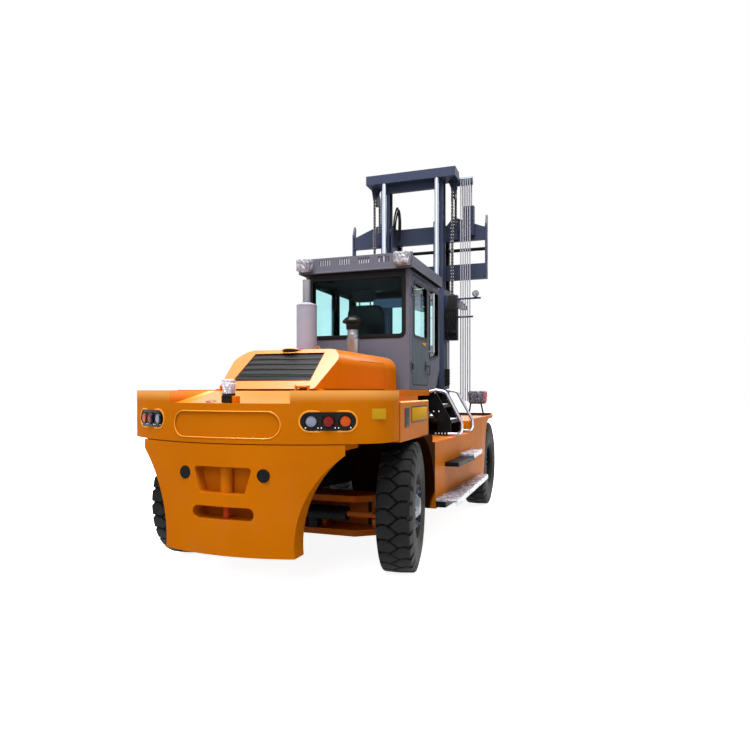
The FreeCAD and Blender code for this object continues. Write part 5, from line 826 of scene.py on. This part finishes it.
bag = piece("beacon_wrapping", "chassis", "film_beacon", [moved(beacon_bag(), (0, BEACON_Y, 0))], sharp=2.0)
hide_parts("beacon")
# the plug in the recess, in amber at 0.30: painted shade
plug = turned_form([(0, 0), (0.046, 0), (0.048, 0.006), (0.044, 0.012), (0.030, 0.014), (0.024, 0.018),
                    (0, 0.018)], 40)
piece("recess_plug", "chassis", "amber_dark", [moved(plug, (-0.225, -3.520, RECESS_FLOOR))])

# ---------------------------------------------------------------- hood

# the ring at the top of the radiator slope, and the opening in it: middle height, half turn, half height
RING_Y, RING_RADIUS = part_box("hood_grille")[1][1] - 0.0817, 0.1066
HOLE_HEIGHT, HOLE_TURN, HOLE_HALF = 1.9265, 0.98, 0.018


def on_ring(turn, height, out=0.0):
    """Places on the ring's rear wall, by the turn from its middle and the height."""
    radius = RING_RADIUS + out
    return np.stack([radius * np.sin(turn), RING_Y - radius * np.cos(turn), height], -1)


def hole_shadow():
    """An oval on the ring's wall: its heights run between the halves of an ellipse over the turn."""
    u, v = np.linspace(-1, 1, 9)[:, None], np.linspace(-1, 1, 31)[None, :]
    height = HOLE_HEIGHT + u * HOLE_HALF * np.sqrt(1 - v ** 2)
    return surface(on_ring(v * HOLE_TURN + 0 * u, height, 0.0004 * (1 - u ** 2) + 0 * v))


piece("hood_hole_shadow", "hood", "seal", [hole_shadow()])
# a lip round the hole in lit amber: a painted highlight
edge = round_turn(60)
eyebrow = on_ring((HOLE_TURN + 0.01) * np.cos(edge), HOLE_HEIGHT + (HOLE_HALF + 0.0015) * np.sin(edge))
piece("hood_hole_lip", "hood", "amber_lit", [tube(np.vstack([eyebrow, eyebrow[:1]]), 0.0045, 8)])

SLOPE_FOOT, SLOPE_RISE, SLOPE_RUN = (-3.045, 1.578), 0.362, 0.495


def on_slope(x, z, out):
    """A place on the hood's sloping back, out from it along its normal."""
    y = SLOPE_FOOT[0] + (z - SLOPE_FOOT[1]) / SLOPE_RISE * SLOPE_RUN
    size = math.hypot(SLOPE_RISE, SLOPE_RUN)
    return x, y - out * SLOPE_RISE / size, z + out * SLOPE_RUN / size


# a rim round the grille in lit amber: a painted highlight
corners = [(-0.372, 1.652), (0.372, 1.652), (0.356, 1.907), (-0.356, 1.907)]
rim_line = np.array([on_slope(x, z, 0.004) for x, z in rounded_outline(corners, 0.02)])
piece("grille_rim", "hood", "amber_lit", [band(rim_line, 0.020, 0.012)])
strip = [on_slope(x, 1.668, 0.012) for x in np.linspace(-0.355, 0.355, 5)]
piece("grille_foot_mesh", "hood", "mesh", [carried(flat_bar(0.002, 0.019, 0.001), strip)])
turn = np.linspace(0, 2 * np.pi, 25)
eye = np.column_stack([0.155 + 0.019 * np.cos(turn), -2.36 + 0 * turn, 1.962 + 0.019 * np.sin(turn)])
piece("hood_lifting_eye", "hood", "amber", [tube(eye, 0.005, 8)])
sill = slab(oblong(-0.515, 0.515, -3.036, -3.024, 0.003), 1.5655, 1.5785, 0.002)
piece("hood_sill_seal", "chassis", "amber", [sill])

# ---------------------------------------------------------------- side boxes

BOX_WALL = 1.1702


def wall_plate(low_y, high_y, low_z, high_z, proud):
    """A thin rounded plate on the box's outer face."""
    plate = slab(oblong(-high_z, -low_z, low_y, high_y, 0.008), 0, proud, proud / 3)
    return facing_x(plate, (BOX_WALL, 0, 0))


backs = [wall_plate(-2.680, -2.150, 1.290, 1.430, 0.0015), wall_plate(-2.880, -2.740, 1.260, 1.420, 0.0015)]
piece("blank_plate_backs", "chassis", "seal", both_sides(backs))
piece("blank_plate_faces", "chassis", "label", both_sides([wall_plate(-2.665, -2.165, 1.302, 1.418, 0.0026)]))
# a lit amber bead along each box's top outer edge: a painted highlight standing in for light on a rolled edge
box_edge = tube([(1.1625, y, 1.4655) for y in (-2.985, -2.112)], 0.010, 16)
piece("side_box_highlight_beads", "chassis", "amber_lit", both_sides([box_edge]))

# ---------------------------------------------------------------- cab

CAB_WALL, REAR_WALL = 0.6525, -0.9485


def gasket(name, body, pane, radius, width, place):
    """A rubber strip round a pane, drawn in the pane's own two directions and put in space by place."""
    outline = rounded_outline(pane, radius, 8)
    line = np.column_stack(place(outline[:, 0], outline[:, 1]))
    piece(name, body, "seal", [band(line, width, 0.010)])


def lean_of_screen(z):
    """How far forward the windscreen's face is at a height."""
    return 0.552 - 0.05 * (z - 1.85) / 1.11


gasket("rear_gasket", "chassis", framed(-0.585, 0.585, 2.195, 2.900), 0.05, 0.05,
       lambda u, v: (u, 0 * u + REAR_WALL, v))
gasket("screen_gasket", "chassis", framed(-0.585, 0.585, 1.965, 2.885), 0.05, 0.05,
       lambda u, v: (u, lean_of_screen(v) + 0.002, v))
quarter_pane = [(0.005, 1.965), (0.465, 2.025), (0.465, 2.875), (0.005, 2.875)]
for sign, word in SIDES:
    gasket("quarter_gasket_" + word, "chassis", quarter_pane, 0.04, 0.034,
           lambda u, v: (sign * CAB_WALL + 0 * u, u, v))
    gasket("door_gasket_" + word, "door_" + word, framed(-0.745, -0.145, 2.205, 2.850), 0.045, 0.034,
           lambda u, v: (sign * CAB_WALL + 0 * u, u, v))
# a black strip across the top of the rear window: partly a black header, partly painted shade under the
# roof's eave
header = slab(oblong(-0.610, 0.610, 2.885, 2.957, 0.01), -0.004, 0.002, 0.001)
piece("rear_header_band", "chassis", "seal", [moved(header, (0, REAR_WALL + 0.002, 0), (QUARTER, 0, 0))])

# seat: two pads and a headrest, on bellows over a plinth
cushion = moved(pillow((0.500, 0.500, 0.118), 0.42, 24, 40), (0, -0.34, 2.066), (0.02, 0, 0))
rest = moved(pillow((0.480, 0.100, 0.560), 0.42, 28, 40), (0, -0.583, 2.335), (0.165, 0, 0))
head = moved(pillow((0.288, 0.082, 0.160), 0.5, 20, 32), (0, -0.665, 2.722), (0.08, 0, 0))
pads = piece("seat_pads", "chassis", "seat", [cushion, rest, head], sharp=2.0)
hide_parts("driver_seat")
PLINTH_TOP, FOLD_RISE, FOLD_IN = 1.700, 0.045, 0.018
folds = []
for k in range(7):
    drawn_in = 0.0 if k % 2 else FOLD_IN
    fold = oblong(drawn_in - 0.205, 0.205 - drawn_in, drawn_in - 0.545, -0.135 - drawn_in, 0.03)
    folds.append(np.column_stack([fold, np.full(len(fold), PLINTH_TOP + FOLD_RISE * k)]))
plinth = slab(oblong(-0.225, 0.225, -0.555, -0.125, 0.02), 1.616, PLINTH_TOP, 0.008)
posts = [carried(flat_bar(0.008, 0.004, 0.003), [(x, -0.640, 2.585), (x, -0.652, 2.640), (x, -0.662, 2.680)])
         for x in (-0.07, 0.07)]
piece("seat_pedestal", "chassis", "black_hose", [plinth, loft(np.array(folds))] + posts)

# door locks with their levers, and the blank labels above them
lever = carried(flat_bar(0.011, 0.006, 0.004), [(0.663, -0.235, 1.875), (0.672, -0.235, 1.872),
                                                (0.676, -0.222, 1.868), (0.676, -0.160, 1.863)])
lock = facing_x(slab(flat_bar(0.062, 0.036, 0.02), 0, 0.0035, 0.0015), (CAB_WALL - 0.001, -0.205, 1.870))
label = facing_x(slab(flat_bar(0.017, 0.085, 0.006), 0, 0.0012, 0.0006), (CAB_WALL - 0.001, -0.270, 2.140))
for sign, word in SIDES:
    piece("door_lock_" + word, "door_" + word, "seal", on_side([lock, lever], sign))
    piece("blank_door_label_" + word, "door_" + word, "label", on_side([label], sign))
drip = carried(flat_bar(0.007, 0.010, 0.004), [(-0.700, -1.026, 2.9635), (0.700, -1.026, 2.9635)])
piece("roof_drip_rail", "chassis", "cab", [drip])

# ---------------------------------------------------------------- chains and hoses

CHAIN_X, CHAIN_PITCH, CHAIN_WIDE = 0.630, 0.050, 0.036
HOSE_X, HOSE_STEP = 0.750, 0.035


def leaf_chain(x, y, low, high):
    """A leaf chain hanging in Z: wide outer plates, narrow inner ones between them, and a pin at each joint.

    A plate's outline in Y and Z is an oval whose half depth is waisted by 0.0055 exp(-(z / 0.22 pitch)^2).
    """
    links = round((high - low) / CHAIN_PITCH)
    pitch = (high - low) / links
    turn = round_turn(20)
    plates = []
    for k in range(2 * links - 1):
        joint = k % 2
        half = CHAIN_WIDE / 2 - 0.007 * joint
        up = np.sin(turn) * (pitch / 2 - 0.004 + 0.006 * joint)
        deep = squared(np.cos(turn), 0.6) * (0.0165 - 0.0055 * np.exp(-(up / (pitch * 0.22)) ** 2))
        z = low + pitch * (k + 1) / 2
        rows = [np.column_stack([np.full(20, x + side), y + deep * size, z + up * size])
                for side, size in ((-half, 0.9), (0.0015 - half, 1.0), (half - 0.0015, 1.0), (half, 0.9))]
        plates.append(loft(np.array(rows)))
    reach = CHAIN_WIDE / 2 + 0.004
    pin = turned_form([(0, -reach), (0.0065, -reach), (0.0065, reach), (0, reach)], 10)
    return plates, [facing_x(pin, (x, y, low + pitch * k)) for k in range(1, links)]


def ends_of(y, low, high):
    """Two places just inside a strand's own ends."""
    return [(0, y, low + 0.02), (0, y, high - 0.02)]


MAST_STRAND, CARRIAGE_STRAND = ("mast", "mast_inner"), ("carriage", "mast_inner")
for name, bodies, y, low, high in (("rear", MAST_STRAND, 1.495, 2.752, 4.640),
                                   ("front", CARRIAGE_STRAND, 1.750, 4.112, 4.640)):
    plates, pins = leaf_chain(CHAIN_X, y, low, high)
    chain = piece("leaf_chains_" + name, bodies, "chain", both_sides(plates), ends=ends_of(y, low, high))
    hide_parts("lift_chains_" + name)
    piece("chain_pins_" + name, bodies, "bolt", both_sides(pins), ends=ends_of(y, low, high))

for name, bodies, y, low, high in (("rear", MAST_STRAND, 1.550, 1.402, 4.780),
                                   ("front", CARRIAGE_STRAND, 1.695, 4.422, 4.780)):
    heights = np.linspace(low, high, 25)
    lines = [tube([(HOSE_X + HOSE_STEP * k, y, z) for z in heights], 0.0095, 10) for k in range(5)]
    pipes = piece("mast_hose_lines_" + name, bodies, "hose", lines, ends=ends_of(y, low, high))
    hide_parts("hoses_" + name)


def sagged(points, radius, sides=10, steps=40):
    """A hose along a smooth line through these points: each stretch is a cubic of its four neighbours."""
    points = np.asarray(points, float)
    ends = np.vstack([2 * points[0] - points[1], points, 2 * points[-1] - points[-2]])
    t = np.linspace(0, 1, steps // (len(points) - 1) + 2, endpoint=False)[:, None]
    line = [0.5 * (2 * b + (c - a) * t + (2 * a - 5 * b + 4 * c - d) * t ** 2
                   + (3 * b - a - 3 * c + d) * t ** 3)
            for a, b, c, d in zip(ends, ends[1:], ends[2:], ends[3:])]
    return tube(np.vstack(line + [points[-1:]]), radius, sides)


def bundled_hose(row, layer):
    """One of the valve hoses, by its place in a row along X and its layer in Y."""
    return sagged([(0.585 + 0.028 * row, 1.352 - 0.012 * layer, 2.335),
                   (0.590 + 0.026 * row, 1.330 - 0.020 * layer, 2.480),
                   (0.575 + 0.032 * row, 1.318 - 0.022 * layer, 2.660 + 0.01 * (row % 3)),
                   (0.600 + 0.024 * row, 1.330 - 0.012 * layer, 2.860),
                   (0.612 + 0.02 * row, 1.350, 2.985)], 0.0135)


bundle = [bundled_hose(row, layer) for layer in range(2) for row in range(6)]
piece("valve_hose_bundle", "mast", "black_hose", bundle)
straps = [carried(flat_bar(0.004, 0.018, 0.003), [(0.560, 1.350, z), (0.570, 1.296, z), (0.640, 1.286, z),
                                                  (0.735, 1.290, z), (0.748, 1.350, z)])
          for z in (2.440, 2.780)]
piece("valve_hose_straps", "mast", "seal", straps)

# ---------------------------------------------------------------- mast fittings

ARM_LAMP, ARM_LAMP_TURNS = (1.005, 1.385, 3.005), (QUARTER, 0, 0.15)
shade = turned_form([(0, -0.030), (0.032, -0.030), (0.046, -0.004), (0.050, 0.020), (0.045, 0.026),
                     (0, 0.026)], 28)
stalk = tube([(1.005, 1.400, 2.955), (1.005, 1.396, 2.985)], 0.010, 10)
piece("arm_work_lamp", "mast", "black", [moved(shade, ARM_LAMP, ARM_LAMP_TURNS), stalk])
skin = turned_form([(0, 0.0265), (0.042, 0.0265), (0.040, 0.031), (0, 0.034)], 28)
piece("arm_lamp_film", "mast", "film", [moved(skin, ARM_LAMP, ARM_LAMP_TURNS)])

loop = sagged([(-0.335, 1.565, 4.120), (-0.318, 1.560, 4.300), (-0.268, 1.550, 4.460), (-0.240, 1.548, 4.300),
               (-0.246, 1.560, 4.100), (-0.270, 1.570, 3.960)], 0.014)
piece("side_shift_hose_loop", "mast_inner", "black_hose", [loop, moved(loop, (0.016, 0.030, -0.03))])

gland = turned_form([(0, 0), (0.045, 0), (0.047, 0.010), (0.047, 0.030), (0.043, 0.036), (0, 0.036)], 32)
piece("lift_gland_nuts", "mast", "black", both_sides([moved(gland, (0.42, 1.36, 3.010))]))

# ---------------------------------------------------------------- wrapped lamps, mirrors and steps

def crumpled(low, high, roundness, seed, depth, taper=0.0):
    """A bag pulled over a block: a rounded block whose surface is pushed in by folds.

    Each fold is |sin| of a mix of the three directions, so ridges stay sharp and valleys soft.
    """
    low, high = np.asarray(low, float), np.asarray(high, float)
    points, faces = pillow((1, 1, 1), roundness, 60, 90)
    unit = points / np.abs(points).max()
    rng = np.random.default_rng(seed)
    push = np.zeros(len(points))
    for k in range(9):
        wave = rng.normal(0, 1, 3) * (3.0 + 1.6 * k)
        push += np.abs(np.sin(unit @ wave + rng.uniform(0, 6))) / (2.0 + k)
    shape = points * (high - low) * (1 - depth * push / push.max())[:, None]
    shape[:, :2] *= 1 - taper * (0.5 - points[:, 2:3])
    return shape + (low + high) / 2, faces


for k, low_x in enumerate((0.500, -0.708)):
    bag = crumpled((low_x, -1.155, 2.968), (low_x + 0.208, -1.004, 3.134), 0.34, 11 + k, 0.16)
    wrapping = piece("lamp_wrapping_%d" % k, "chassis", "film", [bag], sharp=0.6)
    if k == 0:
        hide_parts("roof_lamps")

bag = crumpled((1.020, 0.572, 1.372), (1.316, 0.638, 1.566), 0.30, 21, 0.20, taper=0.10)
legs = [sagged([(1.075, 0.600, 1.390), (1.062, 0.600, 1.300), (1.050, 0.600, 1.228)], 0.011),
        sagged([(1.215, 0.600, 1.390), (1.235, 0.600, 1.300), (1.250, 0.600, 1.228)], 0.011)]
for sign, word in SIDES:
    wrapping = piece("mirror_wrapping_" + word, "chassis", "film_mirror", on_side([bag], sign), sharp=0.6)
    piece("mirror_legs_" + word, "chassis", "black", on_side(legs, sign))
    if word == "right":
        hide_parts("mirrors")

FILM_ROWS, FILM_COLUMNS = 72, 150


def wrapped_board(low, high, seed, teeth, skirt):
    """Film over a step: a flat loaf with long soft folds, its outer rim gathered into hanging teeth."""
    (x0, y0, z0), (x1, y1, z1) = low, high
    u, v = np.linspace(0, 1, FILM_ROWS)[:, None], np.linspace(0, 1, FILM_COLUMNS)[None, :]
    rng = np.random.default_rng(seed)
    wave = np.zeros((FILM_ROWS, FILM_COLUMNS))
    for k in range(8):
        a, b, c = rng.normal(0, 2.2 + k), rng.normal(0, 9 + 4 * k), rng.uniform(0, 6)
        wave += np.abs(np.sin(a * u * 3 + b * v * 2 + c)) / (2 + k)
    wave = wave / wave.max()
    edge = np.clip(np.minimum(1 - u, np.minimum(v, 1 - v) * 8) / 0.12, 0, 1)
    fall = np.sqrt(1 - (1 - edge) ** 2)
    rim = 0.94
    x = x0 + (x1 - x0) * np.minimum(u / rim, 1) + 0 * v
    y = y0 + (y1 - y0) * v + 0 * u
    hang = np.clip((u - rim) / (1 - rim), 0, 1) * (skirt + 0.014 * np.abs(np.sin(np.pi * teeth * v)))
    top = z0 + (z1 - z0) * (0.3 + 0.7 * fall) - 0.45 * (z1 - z0) * (1 - wave) * fall - hang
    lower = np.stack([x - 0.004, y, np.minimum(top - 0.003, z0)], 2)
    grid = np.concatenate([np.stack([x, y, top], 2), lower[::-1]])
    points, faces = surface(grid, round_rows=True)
    near_end = [i * FILM_COLUMNS for i in range(len(grid))]
    return points, faces + [near_end, [i + FILM_COLUMNS - 1 for i in near_end][::-1]]


boards = [wrapped_board((1.150, -1.930, 0.500), (1.4075, -0.030, 0.530), 31, 46, 0.030),
          wrapped_board((1.150, -1.020, 0.8425), (1.4075, -0.470, 0.882), 32, 14, 0.016)]
for sign, word in SIDES:
    piece("step_film_" + word, "chassis", "film_step", on_side(boards, sign), sharp=0.9)

# ---------------------------------------------------------------- stacks

STACK, INTAKE = (-0.488, -1.270), (0.080, -1.260)
tail_pipe = turned_form([(0, 2.556), (0.058, 2.556), (0.060, 2.562), (0.058, 2.580), (0.0465, 2.584),
                         (0.0462, 2.822), (0.0485, 2.826), (0.0485, 2.838), (0.044, 2.8405), (0.040, 2.838),
                         (0.040, 2.70), (0, 2.70)], 40)
piece("tail_pipe_sleeve", "chassis", "intake", [moved(tail_pipe, (*STACK, 0))])
seam = turned_form([(0.100, 2.5535), (0.1175, 2.549), (0.1185, 2.543), (0.1185, 2.531), (0.1172, 2.527),
                    (0.100, 2.527)])
piece("muffler_seams", "chassis", "stack", [moved(seam, (*STACK, drop)) for drop in (0, -0.93)])
pipe = turned_form([(0, 1.571), (0.0718, 1.571), (0.0718, 1.700), (0.0735, 1.703), (0.0735, 1.719),
                    (0.0718, 1.722), (0.0718, 2.128), (0.0745, 2.132), (0.0745, 2.146), (0.0600, 2.152),
                    (0.0600, 2.180), (0.0625, 2.183), (0.0625, 2.193), (0.0600, 2.196), (0.0600, 2.250),
                    (0, 2.250)])
intake = piece("intake_pipe", "chassis", "intake", [moved(pipe, (*INTAKE, 0))])
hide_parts("air_intake")


def intake_cap():
    """A mushroom cap turned about Z, its neck cut by 18 grooves where cos(18 turn) is over 0.1."""
    profile = [(0.0, 2.246), (0.066, 2.246), (0.074, 2.252), (0.076, 2.305), (0.080, 2.314), (0.112, 2.324),
               (0.1175, 2.332), (0.1170, 2.342), (0.098, 2.366), (0.070, 2.388), (0.036, 2.400), (0.0, 2.404)]
    radius, height = np.array(profile).T[:, :, None]
    turn = round_turn(144)
    grooves = (height > 2.25) * (height < 2.31) * (np.cos(18 * turn) > 0.1)
    return surface(turned_grid(radius - 0.007 * grooves, height, turn), round_columns=True)


piece("intake_cap", "chassis", "gloss_black", [moved(intake_cap(), (*INTAKE, 0))])

# ---------------------------------------------------------------- stairs and small fixings

# a place across and the top of each of the stair's two upper treads, and their reach in Y
TREADS, TREAD_REACH = ((0.958, 1.4031), (1.068, 1.2371)), (-1.128, -0.572)
plates = [slab(oblong(x - 0.052, x + 0.060, *TREAD_REACH, 0.004), z, z + 0.004, 0.001) for x, z in TREADS]
noses = [slab(oblong(x + 0.060, x + 0.064, *TREAD_REACH, 0.0015), z - 0.030, z + 0.004, 0.001)
         for x, z in TREADS]
piece("tread_plates", "chassis", "tread", both_sides(plates + noses), sharp=0.5)
BOLTS = ((0.985, 1.335), (1.045, 1.335), (0.955, 1.540), (1.000, 1.540), (1.010, 1.095), (1.045, 1.095),
         (1.080, 1.095), (1.115, 1.095))
bolt_head = pillow((0.018, 0.018, 0.012), 0.7, 8, 14)
bolts = [moved(bolt_head, (x, -1.1515, z), (QUARTER, 0, 0)) for x, z in BOLTS]
piece("stair_bolts", "chassis", "bolt", both_sides(bolts))
latches = [moved(pillow((0.010, 0.022, 0.052), 0.4, 10, 16), (1.154, -1.895, z)) for z in (0.880, 0.735)]
piece("panel_latches", "chassis", "seal", both_sides(latches))
axle_seal = slab(oblong(0.690, 0.800, -2.482, -2.470, 0.004), 0.336, 0.668, 0.003)
piece("axle_end_seal", "chassis", "black_hose", both_sides([axle_seal]))

# ---------------------------------------------------------------- mast struts

# against the uprights' outer faces, with bellows at the foot and a clip above and below
STRUT = (0.5955, 1.300)


def bellows(low, high, radius=0.046, folds=9):
    """A bellows about Z: the radius waves as the cosine of the height, one wave a fold."""
    z = np.linspace(low, high, folds * 6 + 1)
    r = radius * (0.86 + 0.14 * np.cos(2 * np.pi * folds * (z - low) / (high - low)))
    return turned_form([(0, low)] + list(zip(r, z)) + [(0, high)], 28)


piece("mast_strut_boots", "mast", "black_hose", both_sides([moved(bellows(1.640, 1.880), (*STRUT, 0))]))
piece("mast_strut_rods", "mast", "intake", both_sides([tube([(*STRUT, 1.878), (*STRUT, 2.300)], 0.019, 20)]))
clip = oblong(0.5495, 0.622, 1.272, 1.328, 0.008)
clips = [slab(clip, z, z + 0.014, 0.002) for z in (1.628, 2.288)]
piece("mast_strut_clips", "mast", "slate", both_sides(clips))


# ---------------------------------------------------------------- stage

DIRECT_RAYS = ("Is Camera Ray", "Is Glossy Ray", "Is Transmission Ray")
FLOOR_HALF = 60.0
AIM = np.array((0, -1, 1.5))
# name, place, size and power of each soft lamp
SOFT_LAMPS = (("sky", (0.0, -4.0, 16.0), 14.0, 8000.0),
              ("key", (1.0, -15.0, 9.0), 7.0, 500.0),
              ("side", (13.0, -2.0, 10.0), 7.0, 120.0),
              ("left", (-12.0, -3.0, 9.0), 8.0, 200.0),
              ("front", (0.0, 14.0, 9.0), 8.0, 700.0))
CAMERA_PLACE, CAMERA_TURN = (2.56, -7.561, 1.567), 0.338
LENS, SENSOR, LENS_SHIFT = 28.82, 36.0, 0.0202


def direct_rays(tree):
    """A socket that is 1 for rays from the camera, mirrored rays and rays through glass."""
    path = tree.nodes.new("ShaderNodeLightPath")
    socket = path.outputs[DIRECT_RAYS[0]]
    for ray in DIRECT_RAYS[1:]:
        either = tree.nodes.new("ShaderNodeMath")
        either.operation = "MAXIMUM"
        tree.links.new(socket, either.inputs[0])
        tree.links.new(path.outputs[ray], either.inputs[1])
        socket = either.outputs[0]
    return socket


def linked(name, data):
    """An object with this data, put in the scene."""
    made = bpy.data.objects.new(name, data)
    bpy.context.collection.objects.link(made)
    return made


def floor():
    """A wide square that looks nearly white and throws little light back up."""
    s = Shader("floor_pale")
    grain = s.noise(3.0, 4).ramp(0.2, 0.8)
    pale = s.blend(grain * 0.2, (0.80, 0.80, 0.80), (0.78, 0.78, 0.78))
    shown = s.node("ShaderNodeBsdfDiffuse", {}, {"Color": pale})
    lifted = s.node("ShaderNodeEmission", {}, {"Color": (1, 1, 1, 1), "Strength": 0.90})
    bright = s.node("ShaderNodeAddShader", {}, [shown, lifted])
    dull = s.node("ShaderNodeBsdfDiffuse", {}, {"Color": (0.27, 0.27, 0.28, 1)})
    mixed = s.node("ShaderNodeMixShader", {}, [Val(s, direct_rays(s.tree)), dull, bright])
    s.tree.links.new(mixed.socket, s.output.inputs["Surface"])
    mesh = bpy.data.meshes.new("floor")
    mesh.from_pydata([(x, y, 0.0) for x, y in framed(-FLOOR_HALF, FLOOR_HALF, -FLOOR_HALF, FLOOR_HALF)], [],
                     [(0, 1, 2, 3)])
    mesh.materials.append(s.material)
    linked("floor", mesh)


def world():
    """White where it is seen, dimmer and cooler where it lights."""
    made = bpy.data.worlds.new("studio")
    made.use_nodes = True
    bpy.context.scene.world = made
    tree = made.node_tree
    tree.nodes.clear()
    out = tree.nodes.new("ShaderNodeOutputWorld")
    mix = tree.nodes.new("ShaderNodeMixShader")
    tree.links.new(direct_rays(tree), mix.inputs[0])
    for place, colour, strength in ((1, (0.95, 0.97, 1.0, 1), 0.36), (2, (1, 1, 1, 1), 1.0)):
        background = tree.nodes.new("ShaderNodeBackground")
        background.inputs["Color"].default_value = colour
        background.inputs["Strength"].default_value = strength
        tree.links.new(background.outputs[0], mix.inputs[place])
    tree.links.new(mix.outputs[0], out.inputs[0])


def soft_lamps():
    for name, place, size, power in SOFT_LAMPS:
        light = bpy.data.lights.new(name, "AREA")
        light.energy = power
        light.size = size
        lamp = linked(name, light)
        lamp.location = place
        aim = AIM - np.array(place)
        flat = math.hypot(aim[0], aim[1])
        lamp.rotation_euler = (QUARTER + math.atan2(aim[2], flat), 0, math.atan2(-aim[0], aim[1]))


def camera():
    data = bpy.data.cameras.new("camera")
    data.lens = LENS
    data.sensor_width = SENSOR
    data.shift_y = LENS_SHIFT
    made = linked("camera", data)
    made.location = CAMERA_PLACE
    made.rotation_euler = (QUARTER, 0, CAMERA_TURN)
    bpy.context.scene.camera = made


floor()
world()
soft_lamps()
camera()
bpy.context.scene.view_settings.view_transform = "Standard"
